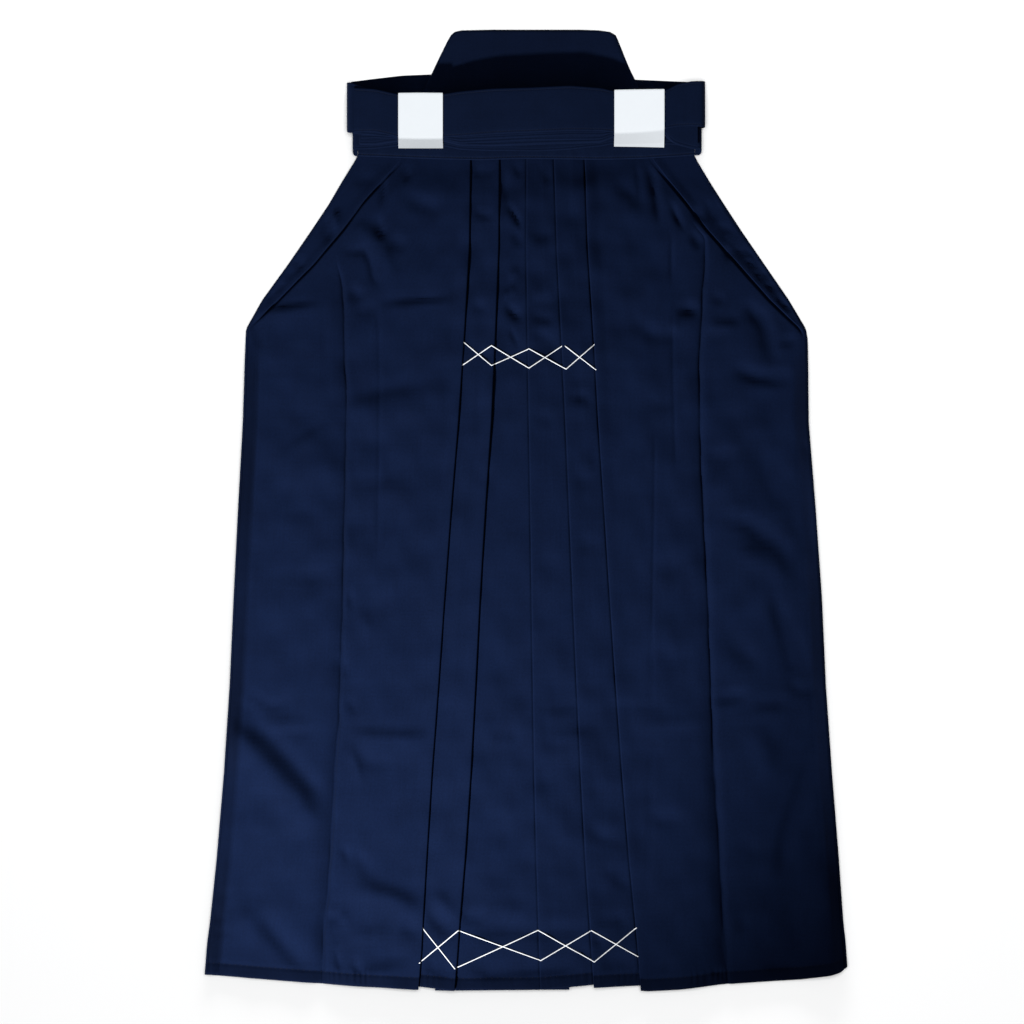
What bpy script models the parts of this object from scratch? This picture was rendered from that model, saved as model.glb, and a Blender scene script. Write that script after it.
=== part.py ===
"""Hakama trousers laid flat with the front up: two pleated front panels over two back panels and a
gusset, a front waistband, a stiff back board, four ties folded across the waist, and two plain bands
that hold the folded ties. Along each side opening the front's side is folded over onto its face.

Sizes are in millimetres, and become metres where a mesh is made. A place on the cloth is (x, s): x runs
to the right from the centre line, and s runs down the front from the seam under the waistband. Height z
is counted from the surface that the garment lies on. Left and right are as seen from the front.
"""

import math

import bpy
import numpy as np

MM = 0.001

# Driving dimensions
BOARD_TOP = -149.0  # s of the back board's top edge
HEM_LOWEST = 948.3  # s of the lowest point of the front hem
WALL = 1.0  # thickness of the cloth
TIE_WALL = 1.2  # thickness of a tie, which is several layers sewn together
BAND_WALL = 1.0  # thickness of a white band
WAISTBAND_WALL = 1.6
BOARD_WALL = 5.0
GAP = 0.3  # between pieces that touch, and between the layers of a pleat
PITCH = WALL + GAP  # height from one layer of a pleat to the next
TIE_PITCH = TIE_WALL + GAP
TIE_WIDTH = 50.0
WAISTBAND_WIDTH = 52.0
TOP_TUCK = 12.0  # the front panels reach this far up under the waistband
BACK_TOP = -31.0  # s of the back panels' top edge, hidden under the ties
CENTRE_S = (BOARD_TOP + HEM_LOWEST) / 2
FRONT_LIFT = WALL + GAP  # the front panels' lowest layer over the surface, at the sides
NEAR = GAP / 2 + WALL  # outer radius of a fold


class Table:
    """Rows of sizes under named columns, read by a straight line between two rows."""

    def __init__(self, *columns, rows):
        self.key = columns[0]
        self.values = dict(zip(columns, zip(*rows)))

    def at(self, column, where):
        return float(np.interp(where, self.values[self.key], self.values[column]))


# The garment's sides, and the inner edges of the flaps that the front's sides make where they are
# folded over onto its face. The flaps narrow downwards and end with the side openings at s = 205.
OUTLINE = Table(
    "s", "left", "flap_left", "flap_right", "right",
    rows=(
        (-31, -180, -133, 135, 181),
        (0, -195, -144, 146, 195),
        (25, -210.5, -167, 165.5, 210),
        (50, -225, -189.5, 186, 226),
        (80, -245, -211.5, 209, 245.5),
        (120, -272.5, -245.5, 245, 273),
        (160, -301.5, -285, 280.5, 300.5),
        (193, -320, -319.5, 315, 320),
        (205, -320.5, -320.5, 322, 322),
        (300, -323.5, -323.5, 323, 323),
        (400, -329, -329, 331, 331),
        (500, -334, -334, 338, 338),
        (600, -338.5, -338.5, 342.5, 342.5),
        (700, -345, -345, 349.5, 349.5),
        (800, -353.5, -353.5, 357.5, 357.5),
        (900, -364, -364, 364.5, 364.5),
        (940, -367, -367, 367, 367),
    ),
)

# The fold edges of the five front pleats. The first two face right, and the others face left.
PLEATS = Table(
    "s", "first", "second", "third", "fourth", "fifth",
    rows=(
        (-12, -63.4, -30.6, 0.9, 32.0, 67.0),
        (0, -63.4, -30.6, 0.9, 32.3, 67.4),
        (100, -64.8, -31.3, 0.5, 35.3, 70.8),
        (200, -70.6, -35.2, 2.0, 40.3, 77.3),
        (300, -77.4, -39.8, 3.5, 45.2, 82.8),
        (400, -85.6, -46.6, 5.2, 49.4, 89.6),
        (500, -93.0, -52.6, 6.6, 53.6, 95.9),
        (600, -99.9, -57.6, 8.1, 58.0, 102.7),
        (700, -107.4, -63.0, 9.7, 62.6, 109.9),
        (800, -113.6, -69.8, 12.1, 68.0, 118.0),
        (900, -119.3, -78.2, 15.2, 74.8, 127.9),
        (947, -123.4, -82.2, 17.1, 77.7, 131.4),
    ),
)

# The hem of each strip between two pleats. It steps where one strip lies over the next.
HEM = {
    "left": Table("x", "s", rows=((-367, 930), (-281, 937), (-190, 943.5), (-127, 947))),
    "first": Table("x", "s", rows=((-123.4, 943.6), (-82.2, 948))),
    "middle": Table("x", "s", rows=((-82.2, 948), (17.1, 947))),
    "third": Table("x", "s", rows=((17.1, 946.6), (77.7, 941.4))),
    "fourth": Table("x", "s", rows=((77.7, 944.7), (131.4, 942.4))),
    "right": Table(
        "x", "s",
        rows=((131.4, 948.2), (139, 949), (176, 947), (222, 941.3), (313, 935.6), (347, 931),
              (359, 927.6), (367, 921)),
    ),
    "back": Table("x", "s", rows=((-367, 925), (-190, 939), (0, 938), (190, 940), (367, 917))),
}

# The stiff back board's sides, from its rounded top corners down to its hidden lower edge.
BOARD = Table(
    "s", "left", "right",
    rows=(
        (-149, -40, 62),
        (-148.2, -74, 84),
        (-146.5, -81.5, 96),
        (-142.8, -85.7, 102.5),
        (-137.1, -89.1, 105.1),
        (-125.7, -94.8, 109.7),
        (-114.2, -100.5, 114.2),
        (-100.5, -106.8, 120.2),
        (-81.1, -117, 130.2),
        (-31.3, -141, 155),
    ),
)

# The folded ties across the waist: where each layer's edges lie, top layer first. lift is how far
# the layers stand apart beyond their own gap, between the bands that pinch them.
STACK = Table(
    "x", "lift", "top_upper", "second_upper", "top", "second", "third", "fourth", "lowest",
    rows=(
        (-205, 0.10, -81.1, -89.0, -30.0, -32.0, -24.0, -18.0, -13.0),
        (-196, 0.12, -81.1, -86.0, -30.0, -29.0, -23.0, -17.5, -12.0),
        (-172, 0.12, -79.5, -76.5, -30.5, -26.8, -24.0, -17.0, -12.5),
        (-147, 0.00, -73.8, -71.0, -25.0, -24.0, -22.5, -21.0, -15.4),
        (-120, 0.00, -73.8, -71.0, -24.5, -23.6, -22.4, -21.2, -15.4),
        (-93.5, 0.00, -73.8, -71.0, -24.4, -23.4, -22.1, -20.9, -15.2),
        (-75, 0.12, -76.5, -73.0, -25.5, -20.5, -17.6, -16.0, -11.4),
        (-40, 0.30, -79.5, -73.0, -28.0, -22.7, -18.7, -15.6, -9.5),
        (10, 0.36, -81.0, -76.0, -29.7, -25.4, -21.1, -17.3, -9.5),
        (50, 0.30, -83.0, -77.0, -31.2, -26.8, -21.8, -18.2, -11.4),
        (85, 0.10, -80.5, -77.0, -31.4, -26.3, -22.4, -19.6, -14.8),
        (99, 0.00, -77.3, -74.5, -30.5, -29.2, -27.3, -25.5, -17.9),
        (129, 0.00, -77.6, -74.5, -32.0, -30.4, -28.4, -26.4, -17.9),
        (159, 0.00, -78.2, -75.0, -34.5, -32.5, -30.1, -27.7, -17.7),
        (172, 0.06, -85.0, -77.0, -37.0, -27.0, -22.0, -18.5, -15.5),
        (187, 0.12, -88.5, -78.0, -37.7, -26.0, -20.5, -16.5, -12.5),
        (205, 0.10, -89.1, -78.0, -36.6, -25.0, -18.5, -14.0, -9.0),
    ),
)
LAYER_EDGES = ("lowest", "fourth", "fourth", "fourth", "fourth", "third", "second", "top")  # upwards
HIDDEN_INSET = 2.0  # the layers under the top one stay this far inside its upper edge
LAYERS_STEP = 0.25  # layers with the same named edge lie this much apart in s
FRONT_TIE_TURNS = 3  # layers that each front tie makes across the waist
WAISTBAND_LOWER = Table(
    "x", "s",
    rows=((-196, -4.6), (-144, -2.3), (-98, -0.6), (-52, 0.6), (-7, -1.1), (85, 0.0), (130, -1.1),
          (176, -4.0), (196, -5.7)),
)
WAISTBAND_ENDS = (-190.0, 191.0)
BAND_SPANS = {"band_left": (-145.6, -94.8), "band_right": (100.5, 157.6)}
BAND_CLEAR = 0.4  # between a band and the ties inside it
TIE_TO_BOARD = 0.8  # from the board's slanted side to a back tie's straight end
FRONT_TIE_REACH = 4.2  # how far a front tie bulges where it turns up from the waistband's end
BACK_TIE_REACH = 5.5
BACK_TIE_MIDDLE = -70.0  # s of the back ties' middle line at the board
# The back ties' upper and lower edges where they lie on the surface, from the board outwards.
BACK_TIE_LEFT = Table(
    "x", "upper", "lower",
    rows=((-205, -89.0, -34.0), (-178, -92.5, -37.0), (-144, -96.5, -41.0), (-107, -99.4, -44.0)),
)
BACK_TIE_RIGHT = Table(
    "x", "upper", "lower",
    rows=((110, -95.0, -42.0), (125, -93.7, -41.5), (142, -91.4, -40.0), (176, -89.9, -37.5),
          (205, -89.1, -36.6)),
)

# The largest folds of the front: soft ridges from one place to another.
FOLD_COLUMNS = ("x0", "s0", "x1", "s1", "height", "half_width")
FOLDS = (
    (-208, 150, -205, 290, 1.2, 18),
    (-205, 290, -214, 640, 1.6, 18),
    (-214, 640, -232, 930, 1.4, 18),
    (201, 70, 199, 310, 1.4, 18),
    (199, 310, 211, 594, 1.6, 18),
    (211, 594, 231, 930, 1.6, 18),
    (-300, 172, -80, 162, 1.1, 16),
    (-335, 618, -20, 652, 1.3, 16),
    (20, 655, 300, 632, 1.3, 16),
    (-343, 632, -258, 735, 2.0, 16),
    (222, 411, 310, 460, 1.6, 16),
    (286, 505, 322, 600, 1.6, 16),
    (330, 690, 300, 770, 1.8, 16),
    (-292, 337, -225, 308, 1.3, 16),
    (-298, 870, -250, 918, 1.4, 14),
)
FOLD_FADE = 26.0  # a fold dies out over this distance at its ends and at the garment's edges

FRONT_ROWS = (-TOP_TUCK, 0, 25, 50, 80, 120, 160, 193, 205, 250, 300, 355, 410, 470, 530, 590, 640, 690,
              750, 810, 865)
BACK_ROWS = (BACK_TOP, 0, 25, 50, 80, 120, 160, 193, 205, 300, 400, 500, 600, 700, 800, 870)
HEM_TURNING = 14.0  # height of the turned-up hem
HEM_READ_AT = 940.0  # s at which a hem row reads its places across
SIDE_INSET = 0.6  # the back panels end this far inside the front's sides
SEAM_ROLL = 2.6  # width of the rolled side seam that a flap dies out into
FLAP_CLEAR = 6.0  # the front lies level this far past a flap's inner edge before it climbs
FOLD_ANGLES = (-50, 0, 50)  # degrees, the points round a fold

BACK_FOLD_X = 0.0  # the back pleat's outer fold
BACK_PLEAT_DEPTH = Table("s", "depth", rows=((-31, 12), (200, 22), (940, 44)))
BACK_PLEAT_RUN = 25.0  # the right back panel comes down to the surface over this distance
GUSSET_TOP = 455.0
GUSSET = Table(
    "s", "left", "right", rows=((455, -12, 22), (560, -40, 48), (720, -60, 70), (900, -74, 84)),
)
OUTER_RUN = 62.0  # an outer panel comes down from its pleat over this distance


def smooth(low, high, value):
    """0 up to low, 1 from high on, and a soft step between."""
    share = min(max((value - low) / (high - low), 0.0), 1.0)
    return share * share * (3 - 2 * share)


def dome(x, inner, outer):
    """1 within inner of the centre line, and 0 beyond outer."""
    return 1 - smooth(inner, outer, abs(x))


def place(x, s, z):
    """A point of the garment as a point of the model, in metres."""
    return (x * MM, (CENTRE_S - s) * MM, z * MM)


def underlap(fold, s):
    """How far a pleat's hidden layers reach behind its fold edge."""
    if fold in ("first", "fifth"):
        return 28 + 0.03 * max(s, 0)
    pairs = {"second": ("first", "second"), "third": ("third", "fourth"), "fourth": ("fourth", "fifth")}
    one, other = pairs[fold]
    return 0.54 * (PLEATS.at(other, s) - PLEATS.at(one, s))


def fold_ridges(x, s):
    """Height that the largest folds add at a place of the front."""
    total = 0.0
    for row in FOLDS:
        ridge = dict(zip(FOLD_COLUMNS, row))
        along_x, along_s = ridge["x1"] - ridge["x0"], ridge["s1"] - ridge["s0"]
        length = math.hypot(along_x, along_s)
        run = ((x - ridge["x0"]) * along_x + (s - ridge["s0"]) * along_s) / length
        aside = ((x - ridge["x0"]) * along_s - (s - ridge["s0"]) * along_x) / length
        ends = smooth(-FOLD_FADE, 0, run) * (1 - smooth(length, length + FOLD_FADE, run))
        total += ridge["height"] * ends * math.exp(-((aside / ridge["half_width"]) ** 2))
    edge = min(x - OUTLINE.at("left", s), OUTLINE.at("right", s) - x)
    return total * smooth(0, FOLD_FADE, edge) * smooth(0, FOLD_FADE, s)


def back_top(x):
    """Height that clears the back panels and their pleat."""
    return WALL + 2 * PITCH * dome(x, 48, 130)


def gusset_share(x, s):
    return dome(x, 90, 160) * smooth(GUSSET_TOP - 70, GUSSET_TOP - 5, s)


def front_base(x, s):
    """Height of the underside of the front's lowest layer."""
    return back_top(x) + GAP + PITCH * gusset_share(x, s) + fold_ridges(x, s)


def waistband_base(x):
    return FRONT_LIFT + 2 * PITCH * (1 + dome(x, 48, 130)) + 1.8 * dome(x, 160, 189)


def stack_base(x):
    """Height of the underside of the folded ties, over the waistband and the bands' lower runs."""
    return waistband_base(x) + WAISTBAND_WALL + GAP + BAND_WALL + BAND_CLEAR


def spread(start, end, steps):
    return [start + (end - start) * step / steps for step in range(steps + 1)]


def run(xs, levels, heading):
    """Points of a layer, with the side that its wall's first face looks to."""
    return [(x, level, 0.0, heading) for x, level in zip(xs, levels)]


def fold(edge, side, start, end):
    """Points round a fold whose outermost point is at edge, from one level to the next."""
    rise = 1 if end > start else -1
    centre = edge - side * NEAR
    points = []
    for degrees in FOLD_ANGLES:
        angle = math.radians(degrees * rise)
        out_x, out_z = side * math.cos(angle), math.sin(angle)
        level = (start + end) / 2 + math.sin(angle) / 2
        turn = -rise * side
        points.append((centre + out_x * PITCH / 2, level, turn * out_x, turn * out_z))
    return points


def outer_run(side_x, flap_x, pleat_inner, sign):
    """Places across an outer panel from its side to where it has climbed over its pleat."""
    foot = sign * min(sign * pleat_inner + OUTER_RUN, sign * flap_x - FLAP_CLEAR)
    start = side_x - sign * NEAR
    side_shares = (0, 0.07, 0.22, 0.38, 0.54, 0.70, 0.85, 1)
    xs = [start + (foot - start) * share for share in side_shares]
    levels = [0.0] * len(xs)
    for share in (0.3, 0.6, 0.85):
        xs.append(foot + (pleat_inner - foot) * share)
        levels.append(2 * smooth(0, 0.95, share))
    return xs, levels


def flap_edge(side_x, flap_x, sign):
    """Place of a flap's inner edge, which below the side opening is that of the seam's roll."""
    return side_x - sign * max(sign * (side_x - flap_x), SEAM_ROLL)


def front_left_section(s):
    """The left front's layers from its flap's inner edge to its hidden centre edge."""
    first, second, third = (PLEATS.at(name, s) for name in ("first", "second", "third"))
    deep_first, deep_second = first - underlap("first", s), second - underlap("second", s)
    end = third + underlap("third", s)
    side_x, flap_x = OUTLINE.at("left", s), OUTLINE.at("flap_left", s)
    points = run(spread(flap_edge(side_x, flap_x, -1), side_x + NEAR, 3), (1,) * 4, -1)
    points += fold(side_x, -1, 1, 0)
    xs, levels = outer_run(side_x, flap_x, deep_first - 2, -1)
    points += run(xs, levels, 1)
    points += run((deep_first - 1.5, (deep_first + first) / 2, first - NEAR), (2, 2, 2), 1)
    points += fold(first, 1, 2, 1)
    points += run((first - NEAR, deep_first + NEAR), (1, 1), -1)
    points += fold(deep_first, -1, 1, 0)
    points += run((deep_first + NEAR, first + 0.5), (0, 0), 1)
    points += run(((first + deep_second) / 2, deep_second - 1), (1, 2), 1)
    points += run(((deep_second + second) / 2, second - NEAR), (2, 2), 1)
    points += fold(second, 1, 2, 1)
    points += run((second - NEAR, deep_second + NEAR), (1, 1), -1)
    points += fold(deep_second, -1, 1, 0)
    points += run(spread(deep_second + NEAR, end, 4), (0,) * 5, 1)
    strips = ["left"] * (4 + len(FOLD_ANGLES) + len(xs) + 3 + len(FOLD_ANGLES) + 2)
    strips += ["first"] * (len(FOLD_ANGLES) + 6 + len(FOLD_ANGLES) + 2)
    strips += ["middle"] * (len(points) - len(strips))
    return points, strips


def right_pleat(fold_x, deep_x, next_x):
    """A right-hand pleat: its hidden return, its fold edge, and its strip down to the next pleat."""
    points = run((deep_x - NEAR, fold_x + NEAR), (1, 1), -1)
    points += fold(fold_x, -1, 1, 2)
    points += run((fold_x + NEAR, (fold_x + deep_x) / 2, deep_x + 1), (2, 2, 2), 1)
    if next_x is not None:
        points += run(((deep_x + next_x) / 2, next_x - 0.5), (1, 0), 1)
    return points


def front_right_section(s):
    """The right front's layers from its hidden centre edge to its flap's inner edge."""
    third, fourth, fifth = (PLEATS.at(name, s) for name in ("third", "fourth", "fifth"))
    edges = {"third": third, "fourth": fourth, "fifth": fifth}
    deep = [edge + underlap(name, s) for name, edge in edges.items()]
    points = right_pleat(third, deep[0], fourth)
    strips = ["third"] * len(points)
    points += run((deep[1] - NEAR,), (0,), 1) + fold(deep[1], 1, 0, 1)
    points += right_pleat(fourth, deep[1], fifth)
    strips += ["fourth"] * (len(points) - len(strips))
    points += run((deep[2] - NEAR,), (0,), 1) + fold(deep[2], 1, 0, 1)
    points += right_pleat(fifth, deep[2], None)
    side_x, flap_x = OUTLINE.at("right", s), OUTLINE.at("flap_right", s)
    xs, levels = outer_run(side_x, flap_x, deep[2] + 2, 1)
    points += run(reversed(xs), reversed(levels), 1)
    points += fold(side_x, 1, 0, 1)
    points += run(spread(side_x - NEAR, flap_edge(side_x, flap_x, 1), 3), (1,) * 4, -1)
    strips += ["right"] * (len(points) - len(strips))
    return points, strips


def back_left_section(s):
    deep = BACK_FOLD_X - BACK_PLEAT_DEPTH.at("depth", s)
    side = OUTLINE.at("left", s) + SIDE_INSET
    points = run(spread(side, BACK_FOLD_X - NEAR, 8), (0,) * 9, 1)
    points += fold(BACK_FOLD_X, 1, 0, 1)
    points += run((BACK_FOLD_X - NEAR, deep), (1, 1), -1)
    return points, ["back"] * len(points)


def back_right_section(s):
    deep = BACK_FOLD_X - BACK_PLEAT_DEPTH.at("depth", s)
    side = OUTLINE.at("right", s) - SIDE_INSET
    foot = BACK_FOLD_X + BACK_PLEAT_RUN
    points = run((deep, BACK_FOLD_X + 0.5, (BACK_FOLD_X + foot) / 2), (2, 2, 1), 1)
    points += run(spread(foot, side, 7), (0,) * 8, 1)
    return points, ["back"] * len(points)


def wall_loop(points, places, base, wall):
    """The closed outline of one section: its upper face one way, and its lower face back."""
    faces = {1: [], -1: []}
    for (x, level, out_x, out_z), s in zip(points, places):
        height = base(x, s) + level * PITCH + wall / 2
        for side, face in faces.items():
            offset = side * wall / 2
            face.append(place(x + offset * out_x, s, height + offset * out_z))
    return faces[1] + faces[-1][::-1]


def panel_loops(section, rows, base, hem_rows):
    """A panel's sections from its top edge to its hem, the last ones following the hem's curve."""
    loops = []
    for s in rows:
        points, _ = section(s)
        loops.append(wall_loop(points, [s] * len(points), base, WALL))
    points, strips = section(HEM_READ_AT)
    for above in hem_rows:
        places = [HEM[strip].at("s", point[0]) - above for point, strip in zip(points, strips)]
        loops.append(wall_loop(points, places, base, WALL))
    return loops


def material(name, colour, roughness):
    made = bpy.data.materials.new(name)
    made.use_nodes = True
    shader = made.node_tree.nodes["Principled BSDF"]
    shader.inputs["Base Color"].default_value = (*colour, 1)
    shader.inputs["Roughness"].default_value = roughness
    shader.inputs["Metallic"].default_value = 0
    made.diffuse_color = (*colour, 1)
    return made


def loft(name, loops, finish, ring=False):
    """A closed solid through loops of equal length. Each loop's first half faces its second half, so
    an end is closed by strips between them. A ring joins its last loop to its first."""
    count = len(loops[0])
    points = [point for loop in loops for point in loop]
    faces = []
    spans = list(zip(range(len(loops) - 1), range(1, len(loops))))
    if ring:
        spans.append((len(loops) - 1, 0))
    for one, other in spans:
        for index in range(count):
            after = (index + 1) % count
            here, there = one * count, other * count
            faces.append((here + index, here + after, there + after, there + index))
    if not ring:
        last = (len(loops) - 1) * count
        for index in range(count // 2 - 1):
            cap = (index, count - 1 - index, count - 2 - index, index + 1)
            faces.append(cap)
            faces.append(tuple(last + corner for corner in reversed(cap)))
    mesh = bpy.data.meshes.new(name)
    mesh.from_pydata(points, [], faces)
    if signed_volume(mesh) < 0:
        mesh.flip_normals()
    mesh.materials.append(finish)
    made = bpy.data.objects.new(name, mesh)
    bpy.context.scene.collection.objects.link(made)
    return made


def signed_volume(mesh):
    mesh.calc_loop_triangles()
    total = 0.0
    for triangle in mesh.loop_triangles:
        a, b, c = (mesh.vertices[index].co for index in triangle.vertices)
        total += a.dot(b.cross(c))
    return total


def build_panels(cloth):
    loft("back_panel_left", panel_loops(back_left_section, BACK_ROWS, flat_base, (0,)), cloth)
    loft("back_panel_right", panel_loops(back_right_section, BACK_ROWS, flat_base, (0,)), cloth)
    hem_rows = (HEM_TURNING, 0)
    loft("front_panel_left", panel_loops(front_left_section, FRONT_ROWS, front_base, hem_rows), cloth)
    loft("front_panel_right", panel_loops(front_right_section, FRONT_ROWS, front_base, hem_rows), cloth)


def flat_base(_x, _s):
    """The back lies on the surface."""
    return 0.0


def build_gusset(cloth):
    """A plain piece between the legs, hidden between the back and the front."""
    loops = []
    for s in GUSSET.values["s"]:
        xs = spread(GUSSET.at("left", s), GUSSET.at("right", s), 8)
        points = run(xs, [0] * len(xs), 1)
        loops.append(wall_loop(points, [s] * len(xs), lambda x, _s: back_top(x) + GAP, WALL))
    loft("gusset", loops, cloth)


def build_waistband(cloth):
    xs = sorted({*spread(*WAISTBAND_ENDS, 12), -168.0, -150.0, 150.0, 168.0})
    points = run(xs, [0] * len(xs), 1)
    lower = [WAISTBAND_LOWER.at("s", x) for x in xs]
    loops = []
    for share in (0, 0.5, 1):
        places = [s - WAISTBAND_WIDTH * (1 - share) for s in lower]
        loops.append(wall_loop(points, places, lambda x, _s: waistband_base(x), WAISTBAND_WALL))
    loft("front_waistband", loops, cloth)


def build_board(cloth):
    """The stiff board under the back waist: flat below, softly crowned above."""
    loops = []
    shares = (0, 0.02, 0.06, 0.25, 0.5, 0.75, 0.94, 0.98, 1)
    for s in BOARD.values["s"]:
        left, right = BOARD.at("left", s), BOARD.at("right", s)
        xs = [left + (right - left) * share for share in shares]
        upper, lower = [], []
        for x in xs:
            inside = min(x - left, right - x, s - BOARD_TOP)
            height = BOARD_WALL * (0.55 + 0.45 * smooth(0, 6, inside))
            upper.append(place(x, s, height))
            lower.append(place(x, s, 0))
        loops.append(upper + lower[::-1])
    loft("back_board", loops, cloth)


def layer_edges(level, x):
    """Upper and lower edge of one layer of the folded ties."""
    name = LAYER_EDGES[level]
    same_above = LAYER_EDGES[level:].count(name) - 1
    lower = STACK.at(name, x) + LAYERS_STEP * same_above
    if name in ("top", "second"):
        return STACK.at(name + "_upper", x), lower
    return max(lower - TIE_WIDTH, STACK.at("top_upper", x) + HIDDEN_INSET), lower


def layer_height(level, x):
    """Height of the middle of one layer of the folded ties."""
    return stack_base(x) + TIE_WALL / 2 + level * (TIE_PITCH + STACK.at("lift", x))


def ribbon_loop(x, z, out, edges, slant=(0, 0)):
    """A tie's section: its upper and lower edge on both faces. slant moves the edges' ends in x."""
    loop = []
    for side, order in ((1, (0, 1)), (-1, (1, 0))):
        offset = side * TIE_WALL / 2
        loop += [place(x + offset * out[0] + slant[i], edges[i], z + offset * out[1]) for i in order]
    return loop


def layer_run(level, start, end):
    """A tie's loops across the waist on one level, from start to end."""
    low, high = min(start, end), max(start, end)
    xs = [low, *(x for x in STACK.values["x"] if low + 3 < x < high - 3), high]
    heading = 1 if end > start else -1
    return [
        ribbon_loop(x, layer_height(level, x), (0, heading), layer_edges(level, x))
        for x in sorted(xs, reverse=end < start)
    ]


def tie_turn(edge, reach, low, high, low_edges, high_edges):
    """Loops round the end of the folded ties, climbing from height low to height high. edge is the
    outermost x, and reach is how far the turn bulges."""
    side = 1 if edge > 0 else -1
    half = (high - low) / 2
    bulge = reach - TIE_WALL / 2
    centre = edge - side * reach
    loops = []
    for degrees in (-65, -35, 0, 35, 65):
        angle = math.radians(degrees)
        out = np.array((side * math.cos(angle) / bulge, math.sin(angle) / half))
        out /= np.linalg.norm(out)
        share = (math.sin(angle) + 1) / 2
        edges = [a + (b - a) * share for a, b in zip(low_edges, high_edges)]
        x, z = centre + side * bulge * math.cos(angle), (low + high) / 2 + half * math.sin(angle)
        loops.append(ribbon_loop(x, z, out * -side, edges))
    return loops


def build_front_tie(name, side, first_level, start_x, turn_edge, inner_ends, cloth):
    """A front tie: it leaves the waistband's end, turns up, and goes across the waist and back."""
    low = waistband_base(start_x) + WAISTBAND_WALL / 2
    lower = WAISTBAND_LOWER.at("s", start_x)
    band_edges = (lower - TIE_WIDTH, lower)
    here = turn_edge - side * FRONT_TIE_REACH
    loops = [
        ribbon_loop(start_x + side * GAP, low, (0, side), band_edges),
        ribbon_loop(here, low, (0, side), band_edges),
    ]
    high = layer_height(first_level, here)
    loops += tie_turn(turn_edge, FRONT_TIE_REACH, low, high, band_edges, layer_edges(first_level, here))
    for turn in range(FRONT_TIE_TURNS):
        level = first_level + turn
        far = inner_ends[turn]
        loops += layer_run(level, here, far)
        if turn + 1 < FRONT_TIE_TURNS:
            low_z, high_z = layer_height(level, far), layer_height(level + 1, far)
            turn_reach = (high_z - low_z) / 2 + TIE_WALL / 2
            outermost = far + math.copysign(turn_reach, far)
            loops += tie_turn(
                outermost, turn_reach, low_z, high_z, layer_edges(level, far), layer_edges(level + 1, far)
            )
        here = far
    loft(name, loops, cloth)


def build_back_tie(name, side, table, column, level, turn_edge, far_end, cloth):
    """A back tie: it leaves the board's side, lies on the surface, turns up round the folded ties,
    and crosses over them."""
    low = TIE_WALL / 2
    turn_x = turn_edge - side * BACK_TIE_REACH
    upper, lower = (table.at(edge, BOARD.at(column, BACK_TIE_MIDDLE)) for edge in ("upper", "lower"))
    start = tuple(BOARD.at(column, s) + side * TIE_TO_BOARD for s in (upper, lower))
    loops = [ribbon_loop(0, low, (0, side), (upper, lower), slant=start)]
    first = start[1] + side * 6
    for x in spread(first, turn_x, 3):
        loops.append(ribbon_loop(x, low, (0, side), (table.at("upper", x), table.at("lower", x))))
    low_edges = (table.at("upper", turn_edge), table.at("lower", turn_edge))
    high = layer_height(level, turn_x)
    loops += tie_turn(turn_edge, BACK_TIE_REACH, low, high, low_edges, layer_edges(level, turn_x))
    loops += layer_run(level, turn_x, far_end)
    loft(name, loops, cloth)


def build_ties(cloth):
    build_front_tie("front_tie_left", -1, 0, WAISTBAND_ENDS[0], -198.0, (188, -188, 190), cloth)
    build_front_tie("front_tie_right", 1, 3, WAISTBAND_ENDS[1], 200.5, (-189, 188, -188), cloth)
    build_back_tie("back_tie_left", -1, BACK_TIE_LEFT, "left", 6, -204.5, 195.5, cloth)
    build_back_tie("back_tie_right", 1, BACK_TIE_RIGHT, "right", 7, 204.5, -196.0, cloth)


def band_corners(x, out):
    """Four corners of a band's section at x, a given distance outside the ties it holds."""
    top = layer_height(len(LAYER_EDGES) - 1, x) + TIE_WALL / 2 + out
    low = stack_base(x) - out
    upper, lower = layer_edges(len(LAYER_EDGES) - 1, x)
    under_lower = layer_edges(0, x)[1]
    under_lower += 2 * (under_lower - lower) * TIE_WALL / (top - low - TIE_WALL) + out
    return (upper - out, top), (lower + out, top), (under_lower, low), (upper - out, low)


def rounded(corners, reach):
    """The corners' outline with each corner cut to three points of a round one."""
    points = []
    count = len(corners)
    for index, corner in enumerate(corners):
        corner = np.array(corner)
        before, after = np.array(corners[index - 1]), np.array(corners[(index + 1) % count])
        start = corner + (before - corner) * reach / np.linalg.norm(before - corner)
        end = corner + (after - corner) * reach / np.linalg.norm(after - corner)
        points += [start, (start + 2 * corner + end) / 4, end]
    return points


def build_band(name, span, paper):
    """A flat band closed round the folded ties."""
    xs = (span[0], (span[0] + span[1]) / 2, span[1])
    inner = [rounded(band_corners(x, BAND_CLEAR), 0.3) for x in xs]
    outer = [rounded(band_corners(x, BAND_CLEAR + BAND_WALL), 2.0) for x in xs]
    loops = []
    for index in range(len(inner[0])):
        outside = [place(x, *outer[i][index]) for i, x in enumerate(xs)]
        inside = [place(x, *inner[i][index]) for i, x in enumerate(xs)]
        loops.append(outside + inside[::-1])
    loft(name, loops, paper, ring=True)


def main():
    for old in list(bpy.data.objects):
        bpy.data.objects.remove(old, do_unlink=True)
    navy = material("navy_cloth", (0.008, 0.018, 0.052), 0.85)
    board_cloth = material("board_cloth", (0.007, 0.014, 0.042), 0.85)
    white = material("white_band", (0.82, 0.88, 0.92), 0.55)
    build_panels(navy)
    build_gusset(navy)
    build_waistband(navy)
    build_board(board_cloth)
    build_ties(navy)
    for name, span in BAND_SPANS.items():
        build_band(name, span, white)


main()
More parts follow.
